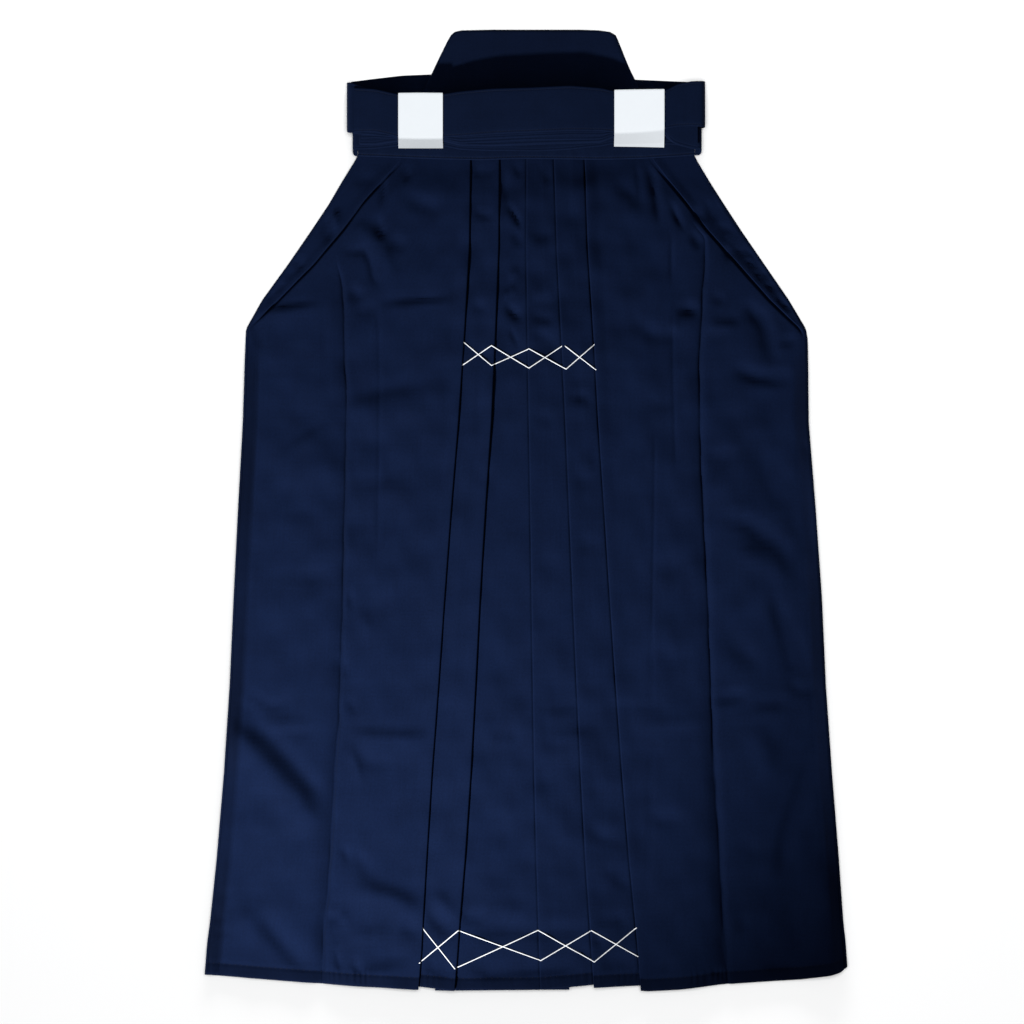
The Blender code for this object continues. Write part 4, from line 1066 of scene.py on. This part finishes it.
def band_corners(x, out):
    """Four corners of a band's section at x, a given distance outside the ties it holds."""
    top = layer_height(TOP_LEVEL, x) + TIE_WALL / 2 + out
    low = stack_base(x) - out
    upper, lower = layer_edges(TOP_LEVEL, x)
    under_lower = layer_edges(0, x)[1]
    under_lower += 2 * (under_lower - lower) * TIE_WALL / (top - low - TIE_WALL) + out
    return (upper - out, top), (lower + out, top), (under_lower, low), (upper - out, low)


def band_outline(corners, reach):
    """The corners' outline with round corners and straight runs between them."""
    points = []
    for index, corner in enumerate(corners):
        corner = np.array(corner, float)
        before, after = np.array(corners[index - 1]), np.array(corners[(index + 1) % 4])
        start = corner + (before - corner) * reach / np.linalg.norm(before - corner)
        end = corner + (after - corner) * reach / np.linalg.norm(after - corner)
        for share in spread(0, 1, 4):
            points.append(start * (1 - share) ** 2 + corner * 2 * share * (1 - share) + end * share ** 2)
        following = after + (corner - after) * reach / np.linalg.norm(corner - after)
        for share in (0.02, 0.1, 0.25, 0.5, 0.75, 0.9, 0.98):
            points.append(end + (following - end) * share)
    return points


def build_band(name, span):
    """A flat band closed round the folded ties, a little bowed between its edges."""
    shares = (0, 0.012, 0.04, 0.1, 0.2, 0.35, 0.5, 0.65, 0.8, 0.9, 0.96, 0.988, 1)
    width = span[1] - span[0]
    rows = []
    for share in shares:
        x = span[0] + width * share
        inner = band_outline(band_corners(x, BAND_CLEAR), 0.3)
        bow = 0.25 * math.sin(math.pi * share)
        edge = 1 - 0.45 * (1 - min(1.0, min(share, 1 - share) * width / 0.5))
        outer = band_outline(band_corners(x, BAND_CLEAR + BAND_WALL * edge + bow), 2.0)
        rows.append((x, inner, outer))
    loops, weave = [], []
    length = 0.0
    for index in range(len(rows[0][1])):
        outside = [place(x, *outer[index]) for x, _, outer in rows]
        inside = [place(x, *inner[index]) for x, inner, _ in rows]
        if loops:
            length += np.linalg.norm(outside[0] - loops[-1][0])
        loops.append(outside + inside[::-1])
        flat = [(x * MM, length) for x, _, _ in rows]
        weave.append(flat + flat[::-1])
    return loft(name, loops, weave, ring=True)


def build_board():
    """The cloth-covered board: flat below, softly crowned above, with round edges."""
    shares = (0, 0.004, 0.012, 0.03, 0.07, 0.14, 0.25, 0.38, 0.5, 0.62, 0.75, 0.86, 0.93, 0.97, 0.988,
              0.996, 1)
    top = list(BOARD.values["s"][:6])
    places = sorted({*top, *(s + step for s, step in zip(top, (0.3, 0.5, 1.2, 1.8, 3.0, 5.0)))})
    places += spread(-110, -33, 22) + [-31.8, -31.3]
    loops, weave = [], []
    for s in places:
        left, right = BOARD.at("left", s), BOARD.at("right", s)
        upper, lower, flat = [], [], []
        for share in shares:
            x = left + (right - left) * share
            inside = max(0.0, min(x - left, right - x, s - BOARD_TOP))
            edge = 1 - (1 - min(1.0, inside / 3.2)) ** 2.4
            crown = 0.56 + 0.32 * edge + 0.12 * smooth(3, 40, inside)
            drawn = 0.12 * math.sin(x / 13 + s / 29) * math.sin(s / 11 - x / 37)
            upper.append(place(x, s, BOARD_WALL * crown + drawn * edge))
            lower.append(place(x, s, 1.5 * (1 - smooth(3.0, 5.0, inside))))
            flat.append((x * MM, s * MM))
        loops.append(upper + lower[::-1])
        weave.append(flat + flat[::-1])
    return loft("back_board_cover", loops, weave)


# Materials

def connect(tree, node, inputs):
    """Links sockets to a node's inputs, and sets its other inputs to plain values."""
    for key, value in inputs.items():
        if isinstance(value, bpy.types.NodeSocket):
            tree.links.new(value, node.inputs[key])
        else:
            node.inputs[key].default_value = value


def add_node(tree, kind, inputs=(), output=0, **settings):
    """Adds a node and gives one of its outputs."""
    made = tree.nodes.new(kind)
    for key, value in settings.items():
        setattr(made, key, value)
    connect(tree, made, dict(inputs))
    return made.outputs[output]


def maths(tree, operation, one, other):
    return add_node(tree, "ShaderNodeMath", {0: one, 1: other}, operation=operation)


def weighted(tree, *parts):
    """The sum of some patterns, each times its weight."""
    total = None
    for pattern, weight in parts:
        part = maths(tree, "MULTIPLY", pattern, weight)
        total = part if total is None else maths(tree, "ADD", total, part)
    return total


def mixed(tree, share, one, other):
    """A colour between two others, each of them a socket or three numbers."""
    one, other = (c if isinstance(c, bpy.types.NodeSocket) else (*c, 1) for c in (one, other))
    return add_node(tree, "ShaderNodeMix", {0: share, 6: one, 7: other}, 2, data_type="RGBA")


def ranged(tree, value, *limits):
    """Goes from the third limit to the fourth as the value goes from the first to the second."""
    return add_node(tree, "ShaderNodeMapRange", enumerate((value, *limits)))


def noise(tree, places, scale, detail=2.0, roughness=0.5):
    return add_node(tree, "ShaderNodeTexNoise",
                    {"Vector": places, "Scale": scale, "Detail": detail, "Roughness": roughness})


def slanting_bands(tree, places, scale, distortion, **more):
    inputs = {"Vector": places, "Scale": scale, "Distortion": distortion, **more}
    return add_node(tree, "ShaderNodeTexWave", inputs, 1, wave_type="BANDS", bands_direction="DIAGONAL")


def weave_places(tree, scale=(1000, 1000, 1000), turn=0.0, source="UV"):
    """Places on the flat cloth in millimetres."""
    found = add_node(tree, "ShaderNodeTexCoord", output=source)
    return add_node(tree, "ShaderNodeMapping", {"Vector": found, "Scale": scale, "Rotation": (0, 0, turn)})


def new_material(name):
    made = bpy.data.materials.new(name)
    made.use_nodes = True
    return made, made.node_tree, made.node_tree.nodes["Principled BSDF"]


def set_finish(tree, shader, colour, roughness, specular, bump=None, **more):
    """Sets a shader's inputs. bump gives its strength, its depth in metres and its height."""
    values = {"Base Color": colour, "Roughness": roughness, "Specular IOR Level": specular}
    if bump:
        strength, depth, height = bump
        values["Normal"] = add_node(tree, "ShaderNodeBump",
                                    {"Strength": strength, "Distance": depth, "Height": height})
    connect(tree, shader, {**values, **more})


def cloth_material(name, dark, light, wale_pitch):
    """Cotton twill: fine slanting wales, uneven yarn, faint streaks along the warp and soft mottling, with
    shade painted onto the turned-in cloth along the seams and the hem.
    """
    made, tree, shader = new_material(name)
    flat = weave_places(tree)
    slanted = weave_places(tree, turn=math.radians(14))
    wales = slanting_bands(tree, slanted, 0.444 / wale_pitch, 0.6, **{"Detail": 1.0, "Detail Scale": 1.5})
    yarn = noise(tree, flat, 1.7, 3.0, 0.6)
    streaks = noise(tree, weave_places(tree, (900, 22, 22)), 0.6)
    weft = noise(tree, weave_places(tree, (18, 700, 18)), 0.6)
    mottle = noise(tree, flat, 0.022, 5.0, 0.62)
    grain = noise(tree, flat, 0.45)
    share = weighted(tree, (mottle, 0.55), (streaks, 0.2), (weft, 0.15), (yarn, 0.25), (grain, 0.55))
    colour = mixed(tree, ranged(tree, share, 0.60, 1.09, 0.0, 1.0), dark, light)
    # painted shade: the turned-in cloth along the seams and the hem is mixed towards black
    turned_in = add_node(tree, "ShaderNodeAttribute", output="Fac", attribute_name="turned_in")
    colour = mixed(tree, maths(tree, "MULTIPLY", turned_in, PAINTED_SHADE_STRENGTH), colour, (0, 0, 0))
    relief = weighted(tree, (wales, 0.55), (yarn, 0.6))
    sheen = {"Sheen Weight": 0.02, "Sheen Roughness": 0.45, "Sheen Tint": (0.35, 0.5, 1.0, 1)}
    rough = ranged(tree, yarn, 0.3, 0.7, 0.78, 0.92)
    set_finish(tree, shader, colour, rough, 0.03, (0.3, 0.0003, relief), **sheen)
    return made


def paper_material(name, dark, light):
    """Smooth band card: faint fibres, a few soft clouds and a trace of handling."""
    made, tree, shader = new_material(name)
    fibre = noise(tree, weave_places(tree, (1400, 260, 260)), 0.8, 3.0)
    cloud = noise(tree, weave_places(tree), 0.05, 3.0)
    share = weighted(tree, (fibre, 0.4), (cloud, 0.6))
    rough = ranged(tree, fibre, 0.3, 0.7, 0.42, 0.58)
    set_finish(tree, shader, mixed(tree, share, dark, light), rough, 0.35, (0.12, 0.0002, share))
    return made


def thread_material(name, dark, light):
    """Sewing thread: two plies laid round each other."""
    made, tree, shader = new_material(name)
    here = weave_places(tree, (1, 1, 1), source="Object")
    plies = slanting_bands(tree, here, 90.0, 1.5)
    share = weighted(tree, (plies, 0.6), (noise(tree, here, 2400.0), 0.4))
    set_finish(tree, shader, mixed(tree, share, dark, light), 0.7, 0.2, (0.4, 0.0002, share))
    return made


def floor_material(name, dark, light):
    """Pale matt board with faint clouds."""
    made, tree, shader = new_material(name)
    cloud = noise(tree, weave_places(tree, (1, 1, 1), source="Object"), 1.3, 3.0)
    set_finish(tree, shader, mixed(tree, cloud, dark, light), 0.9, 0.1)
    return made


def finish_named(name, make, colour, dark, light, *more):
    """A finish between two shades of a colour, which is made when it is first asked for."""
    shades = ([part * share for part in colour] for share in (dark, light))
    return bpy.data.materials.get(name) or make(name, *shades, *more)


TWILLS = {"navy": "navy twill", "tie_navy": "navy tie twill", "board_navy": "navy board twill"}


def twill(settings, colour):
    """The cloth finish of one of the settings' colours."""
    return finish_named(TWILLS[colour], cloth_material, getattr(settings, colour), 0.78, 1.22,
                        settings.wales / MM)


# Sewing

def put_on(obj, finish=None):
    """Puts a piece on the garment's body, with its slot and, where it has none yet, its finish."""
    if finish:
        obj.data.materials.append(finish)
    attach(obj, BODY)


def top_surface(*names):
    """A tree that finds the highest cloth under a place."""
    points, faces = [], []
    for name in names:
        mesh = bpy.data.objects[name].data
        start = len(points)
        points += [v.co.copy() for v in mesh.vertices]
        faces += [tuple(start + i for i in face.vertices) for face in mesh.polygons]
    return BVHTree.FromPolygons(points, faces)


def height_at(surface, x, s):
    """Height of the surface at a place, in millimetres."""
    hit = surface.ray_cast(Vector((x * MM, (CENTRE_S - s) * MM, RAYS_FROM)), Vector((0, 0, -1)))[0]
    return hit.z / MM if hit else 0.0


def on_surface(surface, path, step=1.5, rise=0.0):
    """The path's places every step, lying on the surface."""
    points = []
    for (x0, s0), (x1, s1) in zip(path, path[1:]):
        count = max(1, round(math.hypot(x1 - x0, s1 - s0) / step))
        for k in range(count + 1):
            x, s = x0 + (x1 - x0) * k / count, s0 + (s1 - s0) * k / count
            points.append((x, s, height_at(surface, x, s) + rise))
    return points


def stitch_tree():
    """A Geometry Nodes tree that sets a stitch every so often along each path of a mesh."""
    name = "Stitches along a path"
    if name in bpy.data.node_groups:
        return bpy.data.node_groups[name]
    tree = bpy.data.node_groups.new(name, "GeometryNodeTree")
    for label, kind in (("Path", "Geometry"), ("Pitch", "Float"), ("Stitch length", "Float"),
                        ("Thread width", "Float"), ("Seed", "Int"), ("Thread", "Material")):
        tree.interface.new_socket(label, in_out="INPUT", socket_type="NodeSocket" + kind)
    tree.interface.new_socket("Stitches", in_out="OUTPUT", socket_type="NodeSocketGeometry")
    given = tree.nodes.new("NodeGroupInput").outputs
    width = given["Thread width"]
    curve = add_node(tree, "GeometryNodeMeshToCurve", {"Mesh": given["Path"]})
    stops = add_node(tree, "GeometryNodeResampleCurve", {"Curve": curve, "Length": given["Pitch"]},
                     mode="LENGTH")
    bead = add_node(tree, "GeometryNodeMeshUVSphere", {"Segments": 8, "Rings": 5, "Radius": 0.5})
    ahead = add_node(tree, "GeometryNodeInputTangent")
    turn = add_node(tree, "FunctionNodeAlignRotationToVector", {"Vector": ahead}, axis="X")
    uneven = add_node(tree, "FunctionNodeRandomValue", {"Seed": given["Seed"], 2: 0.86, 3: 1.1}, 1,
                      data_type="FLOAT")
    long = maths(tree, "MULTIPLY", given["Stitch length"], uneven)
    size = add_node(tree, "ShaderNodeCombineXYZ", {0: long, 1: width, 2: width})
    laid = add_node(tree, "GeometryNodeInstanceOnPoints",
                    {"Points": stops, "Instance": bead, "Rotation": turn, "Scale": size})
    real = add_node(tree, "GeometryNodeRealizeInstances", {0: laid})
    soft = add_node(tree, "GeometryNodeSetShadeSmooth", {0: real})
    done = add_node(tree, "GeometryNodeSetMaterial", {"Geometry": soft, "Material": given["Thread"]})
    tree.links.new(done, tree.nodes.new("NodeGroupOutput").inputs[0])
    return tree


def set_inputs(modifier, tree, values):
    """Sets a modifier's inputs by their sockets' identifiers."""
    for item in tree.interface.items_tree:
        if item.item_type == "SOCKET" and item.in_out == "INPUT" and item.name in values:
            modifier[item.identifier] = values[item.name]


def sew(name, paths, settings, seed, pitch=None):
    """One piece with all the stitches of some paths, each a list of (x, s, z)."""
    thread = finish_named("navy sewing thread", thread_material, settings.thread_colour, 0.6, 1)
    points, edges = [], []
    for path in paths:
        start = len(points)
        points += [tuple(place(*point)) for point in path]
        edges += [(k, k + 1) for k in range(start, len(points) - 1)]
    guide_mesh = bpy.data.meshes.new(name + "_guide")
    guide_mesh.from_pydata(points, edges, [])
    guide = add_object(name + "_guide", guide_mesh)
    tree = stitch_tree()
    modifier = guide.modifiers.new("Stitches", "NODES")
    modifier.node_group = tree
    set_inputs(modifier, tree, {"Pitch": pitch * MM if pitch else settings.pitch,
                                "Stitch length": settings.length, "Thread width": settings.width,
                                "Seed": seed, "Thread": thread})
    seen = guide.evaluated_get(bpy.context.evaluated_depsgraph_get())
    mesh = bpy.data.meshes.new_from_object(seen)
    mesh.name = name
    made = add_object(name, mesh)
    bpy.data.objects.remove(guide, do_unlink=True)
    if not mesh.polygons:
        raise RuntimeError(f"{name} has no stitches")
    put_on(made)


def tube(name, paths, radius, sides, finish):
    """Round threads along paths of (x, s, z), closed at their ends."""
    points, quads, weave = [], [], []
    for path in paths:
        path = np.array([place(*point) for point in path])
        ahead = np.gradient(path, axis=0)
        ahead /= np.linalg.norm(ahead, axis=1)[:, None]
        beside = np.cross(ahead, (0, 0, 1.0))
        beside /= np.linalg.norm(beside, axis=1)[:, None]
        up = np.cross(beside, ahead)
        width = np.full(len(path), radius * MM)
        width[0] = width[-1] = radius * MM * 0.25
        start, length = len(points), 0.0
        for k, centre in enumerate(path):
            if k:
                length += np.linalg.norm(centre - path[k - 1])
            for side in range(sides):
                angle = 2 * math.pi * side / sides
                out = beside[k] * math.cos(angle) + up[k] * math.sin(angle)
                points.append(centre + out * width[k])
                weave.append((length, side / sides * 0.004))
        for k in range(len(path) - 1):
            for side in range(sides):
                one, two = start + k * sides + side, start + k * sides + (side + 1) % sides
                quads.append((one, two, two + sides, one + sides))
        for ring in (start, start + (len(path) - 1) * sides):
            for side in range(1, sides // 2):
                cap = (ring + side - 1, ring + side, ring + sides - 1 - side, ring + sides - side)
                quads.append(cap if ring == start else cap[::-1])
    put_on(mesh_object(name, points, quads, weave, 80), finish)


# Pieces

def dress(obj, node, finish):
    """Puts a shell in its node's place."""
    put_on(obj, finish)
    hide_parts(node)
    return obj


def make_panels(part, sections, steps, base, hemmed, finish):
    """The left and the right half of the back or of the front."""
    for side, section in zip(SIDES, sections):
        made = build_panel(f"{part}_{side}_shell", section, steps, base, hemmed)
        dress(made, f"{part}_panel_{side}", finish)


def make_gusset(finish):
    """The plain piece between the legs, hidden between the back and the front."""
    s = np.array(spread(GUSSET_TOP, 900, 50))[:, None]
    share = np.array(spread(0, 1, 24))[None, :]
    left, right = GUSSET.at("left", s), GUSSET.at("right", s)
    x = left + (right - left) * share
    s = s + 0 * x
    slack = 0.12 * np.sin(x / 9 + s / 41) * np.sin(s / 29)
    made = shell("gusset_shell", x, s, back_top(x) + GAP + WALL / 2 + slack, np.full(x.shape, WALL))
    dress(made, "gusset", finish)


def make_waistband(finish):
    """The front waistband. Its rounded lower edge shows below the folded ties."""
    above = (52, 50, 44, 38, 32, 26, 20, 15, 11, 8, 6, 4.6, 3.7, 3.1, 2.6, 2.1, 1.5, 0.9, 0.4, 0.1, 0)
    x, above = np.meshgrid(spread(*WAISTBAND_ENDS, 150), above)
    s = WAISTBAND_LOWER.eased("s", x, 6) - above
    drawn = -0.34 * np.exp(-((above - TOPSTITCH_IN) / 0.75) ** 2)
    gather = 0.14 * np.sin(x / 2.6 + 0.8 * np.sin(x / 11)) * (1 + 0.5 * np.sin(x / 31)) * smooth(9, 1, above)
    wall = WAISTBAND_WALL * (1 - 0.7 * (1 - np.clip(above / 1.3, 0, 1)) ** 2)
    made = shell("waistband_shell", x, s, waistband_base(x) + WAISTBAND_WALL / 2 + drawn + gather, wall)
    dress(made, "front_waistband", finish)


def make_ties(finish):
    """The front ties, folded to and fro over the waistband, and the back ties over them."""
    ties = (
        front_tie("front_tie_left_shell", -1, 0, WAISTBAND_ENDS[0], -198.0, (188.0, -188.0, 190.0)),
        front_tie("front_tie_right_shell", 1, 3, WAISTBAND_ENDS[1], 200.5, (-189.0, 188.0, -188.0)),
        back_tie("back_tie_left_shell", -1, BACK_TIE_LEFT, "left", TOP_LEVEL - 1, -204.5, 195.5),
        back_tie("back_tie_right_shell", 1, BACK_TIE_RIGHT, "right", TOP_LEVEL, 204.5, -196.0),
    )
    for tie in ties:
        dress(tie, tie.name.removesuffix("_shell"), finish)


def sew_waistband(settings):
    surface = top_surface("waistband_shell")
    path = [(x, WAISTBAND_LOWER.eased("s", x, 6) - TOPSTITCH_IN) for x in spread(-187, 188, 125)]
    sew("waistband_topstitch", [on_surface(surface, path)], settings, seed=3)


def sew_ties(settings):
    """Topstitching along both edges of the top tie, where it shows."""
    surface = top_surface("back_tie_right_shell")
    paths = []
    for start, end in ((-193, -148), (-92, 98), (160, 199)):
        for edge, inwards in ((0, TOPSTITCH_IN), (1, -TOPSTITCH_IN)):
            path = [(x, layer_edges(TOP_LEVEL, x)[edge] + inwards) for x in spread(start, end, 60)]
            paths.append(on_surface(surface, path))
    sew("tie_topstitch", paths, settings, seed=5)


def sew_hem(settings):
    """The turned-up hem's stitches along each strip of the front."""
    surface = top_surface("front_left_shell", "front_right_shell")
    paths = []
    for strip, start, end in (("left", -363, -127), ("first", -119, -85), ("middle", -78, 14),
                              ("third", 22, 73), ("fourth", 83, 127), ("right", 137, 362)):
        path = [(x, HEM[strip].at("s", x) - HEM_TURNING) for x in spread(start, end, 40)]
        paths.append(on_surface(surface, path))
    sew("hem_stitches", paths, settings, seed=7, pitch=PUCKER_PITCH)


def make_basting(settings):
    """Two rows of crossing white thread that hold the pleats while the garment is packed."""
    surface = top_surface("front_left_shell", "front_right_shell")
    rise = settings.basting_width / MM * 0.36
    paths = [on_surface(surface, path, 2.0, rise) for path in BASTING]
    for path in paths:
        path[0] = (*path[0][:2], path[0][2] - 2.2 * rise)
        path[-1] = (*path[-1][:2], path[-1][2] - 2.2 * rise)
    white = finish_named("white basting cotton", thread_material, settings.basting_colour, 0.8, 1)
    tube("basting_threads", paths, settings.basting_width / MM / 2, 8, white)


# Stage

def lamp(name, kind, at, target, power, **settings):
    data = bpy.data.lights.new(name, kind)
    data.energy = power
    for key, value in settings.items():
        setattr(data, key, value)
    made = add_object(name, data)
    made.location = at
    made.visible_camera = False
    made.rotation_euler = (Vector(target) - made.location).to_track_quat("-Z", "Y").to_euler()
    return made


def lights_only(light, name, objects):
    """Lets a light reach only some objects, which all the others still shade."""
    group = bpy.data.collections.new(name)
    for obj in objects:
        group.objects.link(obj)
    light.light_linking.receiver_collection = group


def build_floor(colour):
    mesh = bpy.data.meshes.new("floor")
    square = ((-1, -1), (1, -1), (1, 1), (-1, 1))
    corners = [(x * FLOOR_HALF, y * FLOOR_HALF, FLOOR_Z) for x, y in square]
    mesh.from_pydata(corners, [], [(0, 1, 2, 3)])
    floor = add_object("floor", mesh)
    mesh.materials.append(finish_named("pale studio floor", floor_material, colour, 0.985, 1))
    return floor


def build_lights(settings, garment, floor):
    """A key light from the lower left, a side light, two lights for the pale things, and a fill."""
    key = lamp("key light", "SPOT", KEY_AT, KEY_TARGET, settings.key_power,
               spot_size=KEY_CONE, spot_blend=1.0, shadow_soft_size=settings.key_size / 2)
    side = lamp("side light", "AREA", SIDE_AT, (0, 0, 0), settings.side_power, shape="DISK", size=0.4)
    cards = [obj for obj in garment if obj.name.startswith("band_")]
    cloth = [obj for obj in garment if obj not in cards]
    for light in (key, side):
        lights_only(light, light.name + " cloth", cloth)
    top = lamp("floor light", "AREA", TOP_AT, (0, 0, 0), settings.floor_power, shape="DISK", size=3.0)
    low = lamp("low floor light", "AREA", LOW_AT, LOW_TARGET, settings.low_power, shape="RECTANGLE",
               size=1.6, size_y=0.5)
    lights_only(top, "floor light floor", [floor, *cards])
    lights_only(low, "low floor light floor", [floor])
    world = bpy.data.worlds.new("studio")
    world.use_nodes = True
    backdrop = world.node_tree.nodes["Background"]
    backdrop.inputs[0].default_value = (0.97, 0.985, 1.0, 1)
    backdrop.inputs[1].default_value = settings.fill
    bpy.context.scene.world = world


def build_camera(settings):
    """The camera straight above, as far away as its lens needs for the frame."""
    data = bpy.data.cameras.new("camera from above")
    data.lens = settings.lens
    data.sensor_width = 36.0
    camera = add_object("camera from above", data)
    camera.location = (*VIEW_CENTRE, settings.frame_width * settings.lens / data.sensor_width + VIEW_LEVEL)
    bpy.context.scene.camera = camera


def build_stage(settings):
    garment = [obj for obj in bpy.context.scene.objects if obj.type == "MESH" and not obj.hide_render]
    floor = build_floor(settings.floor_colour)
    build_lights(settings, garment, floor)
    build_camera(settings)
    bpy.context.scene.view_settings.view_transform = "Standard"


# Settings that a user would change

def colour_setting(name, description, default):
    return bpy.props.FloatVectorProperty(name=name, description=description, subtype="COLOR", size=3,
                                         min=0.0, max=1.0, default=default)


def length_setting(name, description, default):
    return bpy.props.FloatProperty(name=name, description=description, unit="LENGTH", min=0.0,
                                   precision=5, default=default)


def power_setting(name, description, default):
    return bpy.props.FloatProperty(name=name, description=description, unit="POWER", min=0.0,
                                   default=default)


class HakamaCloth(bpy.types.PropertyGroup):
    navy: colour_setting("Navy", "Colour of the trousers' cotton", (0.0025, 0.0065, 0.0243))
    tie_navy: colour_setting("Tie navy", "Colour of the ties and the waistband", (0.0029, 0.0069, 0.0235))
    board_navy: colour_setting("Board navy", "Colour of the cloth over the back board",
                               (0.0029, 0.0066, 0.0225))
    card: colour_setting("Band white", "Colour of the two bands", (0.80, 0.84, 0.88))
    wales: length_setting("Wale pitch", "Distance between the slanting ridges of the twill", 0.0008)


class HakamaSewing(bpy.types.PropertyGroup):
    thread_colour: colour_setting("Thread", "Colour of the sewing thread", (0.0022, 0.005, 0.018))
    pitch: length_setting("Stitch pitch", "Distance from one stitch to the next", 0.003)
    length: length_setting("Stitch length", "Length of the part of a stitch that shows", 0.0021)
    width: length_setting("Thread width", "Thickness of the sewing thread", 0.0005)
    basting_colour: colour_setting("Basting", "Colour of the basting cotton", (0.82, 0.84, 0.86))
    basting_width: length_setting("Basting width", "Thickness of the basting cotton", 0.0012)


class HakamaStage(bpy.types.PropertyGroup):
    key_power: power_setting("Key light", "Power of the light from the lower left", 335.0)
    side_power: power_setting("Side light", "Power of the low light from the left", 3.0)
    key_size: length_setting("Key light size", "Width of the light from the lower left", 0.12)
    floor_power: power_setting("Floor light", "Power of the light over the floor", 150.0)
    low_power: power_setting("Low floor light", "Power of the low light that lets the hem shade the floor",
                             45.0)
    fill: bpy.props.FloatProperty(
        name="Fill", description="Strength of the light from all round", min=0.0, default=0.25)
    floor_colour: colour_setting("Floor", "Colour of the floor", (0.9, 0.9, 0.9))
    lens: bpy.props.FloatProperty(
        name="Lens", description="Focal length of the camera", unit="CAMERA", min=10.0, default=150.0)
    frame_width: length_setting("Frame width", "Width of the picture at the cloth", 1.1697)


# Operators

class HAKAMA_OT_backs(bpy.types.Operator):
    """Make both back panels and the gusset between them"""
    bl_idname = "hakama.backs"
    bl_label = "Back panels and gusset"

    def execute(self, context):
        finish = twill(context.scene.hakama_cloth, "navy")
        make_panels("back", (back_left_section, back_right_section), BACK_STEPS, flat_base, False,
                    finish)
        make_gusset(finish)
        return {"FINISHED"}


class HAKAMA_OT_fronts(bpy.types.Operator):
    """Make both pleated front panels with their folded-over sides"""
    bl_idname = "hakama.fronts"
    bl_label = "Front panels"

    def execute(self, context):
        finish = twill(context.scene.hakama_cloth, "navy")
        make_panels("front", (front_left_section, front_right_section), FRONT_STEPS, front_base, True,
                    finish)
        return {"FINISHED"}


class HAKAMA_OT_waistband(bpy.types.Operator):
    """Make the front waistband"""
    bl_idname = "hakama.waistband"
    bl_label = "Waistband"

    def execute(self, context):
        make_waistband(twill(context.scene.hakama_cloth, "tie_navy"))
        return {"FINISHED"}


class HAKAMA_OT_board(bpy.types.Operator):
    """Make the cloth-covered back board"""
    bl_idname = "hakama.board"
    bl_label = "Back board"

    def execute(self, context):
        finish = twill(context.scene.hakama_cloth, "board_navy")
        dress(build_board(), "back_board", finish)
        return {"FINISHED"}


class HAKAMA_OT_ties(bpy.types.Operator):
    """Make the four ties, folded over the waist"""
    bl_idname = "hakama.ties"
    bl_label = "Ties"

    def execute(self, context):
        make_ties(twill(context.scene.hakama_cloth, "tie_navy"))
        return {"FINISHED"}


class HAKAMA_OT_bands(bpy.types.Operator):
    """Make the two plain white bands round the folded ties"""
    bl_idname = "hakama.bands"
    bl_label = "Bands"

    def execute(self, context):
        finish = finish_named("white card", paper_material, context.scene.hakama_cloth.card, 0.95, 1)
        for node, span in BAND_SPANS.items():
            dress(build_band(node + "_card", span), node, finish)
        return {"FINISHED"}


class HAKAMA_OT_stitches(bpy.types.Operator):
    """Sew the waistband, the ties and the hem"""
    bl_idname = "hakama.stitches"
    bl_label = "Stitches"

    def execute(self, context):
        sew_waistband(context.scene.hakama_sewing)
        sew_ties(context.scene.hakama_sewing)
        sew_hem(context.scene.hakama_sewing)
        return {"FINISHED"}


class HAKAMA_OT_basting(bpy.types.Operator):
    """Lay the white threads that hold the pleats"""
    bl_idname = "hakama.basting"
    bl_label = "Basting threads"

    def execute(self, context):
        make_basting(context.scene.hakama_sewing)
        return {"FINISHED"}


class HAKAMA_OT_stage(bpy.types.Operator):
    """Set up the floor, the lights and the camera"""
    bl_idname = "hakama.stage"
    bl_label = "Stage"

    def execute(self, context):
        build_stage(context.scene.hakama_stage)
        return {"FINISHED"}


OPERATORS = (HAKAMA_OT_backs, HAKAMA_OT_fronts, HAKAMA_OT_waistband, HAKAMA_OT_board, HAKAMA_OT_ties,
             HAKAMA_OT_bands, HAKAMA_OT_stitches, HAKAMA_OT_basting, HAKAMA_OT_stage)
SETTINGS = {"hakama_cloth": HakamaCloth, "hakama_sewing": HakamaSewing, "hakama_stage": HakamaStage}


class HAKAMA_PT_panel(bpy.types.Panel):
    """The pieces in the order in which they are made, and their settings"""
    bl_idname = "HAKAMA_PT_panel"
    bl_label = "Hakama trousers"
    bl_space_type = "VIEW_3D"
    bl_region_type = "UI"
    bl_category = "Hakama"

    def draw(self, context):
        for operator in OPERATORS:
            self.layout.operator(operator.bl_idname)
        for name, group in SETTINGS.items():
            box = self.layout.box()
            for key in group.__annotations__:
                box.prop(getattr(context.scene, name), key)


def register():
    for group in SETTINGS.values():
        bpy.utils.register_class(group)
    for name, group in SETTINGS.items():
        setattr(bpy.types.Scene, name, bpy.props.PointerProperty(type=group))
    for made in (*OPERATORS, HAKAMA_PT_panel):
        bpy.utils.register_class(made)


def unregister():
    for made in (HAKAMA_PT_panel, *reversed(OPERATORS)):
        bpy.utils.unregister_class(made)
    for name in SETTINGS:
        delattr(bpy.types.Scene, name)
    for group in SETTINGS.values():
        bpy.utils.unregister_class(group)


def main():
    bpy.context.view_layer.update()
    register()
    pieces = bpy.ops.hakama
    pieces.backs()
    pieces.fronts()
    pieces.waistband()
    pieces.board()
    pieces.ties()
    pieces.bands()
    pieces.stitches()
    pieces.basting()
    pieces.stage()


if __name__ == "__main__":
    main()
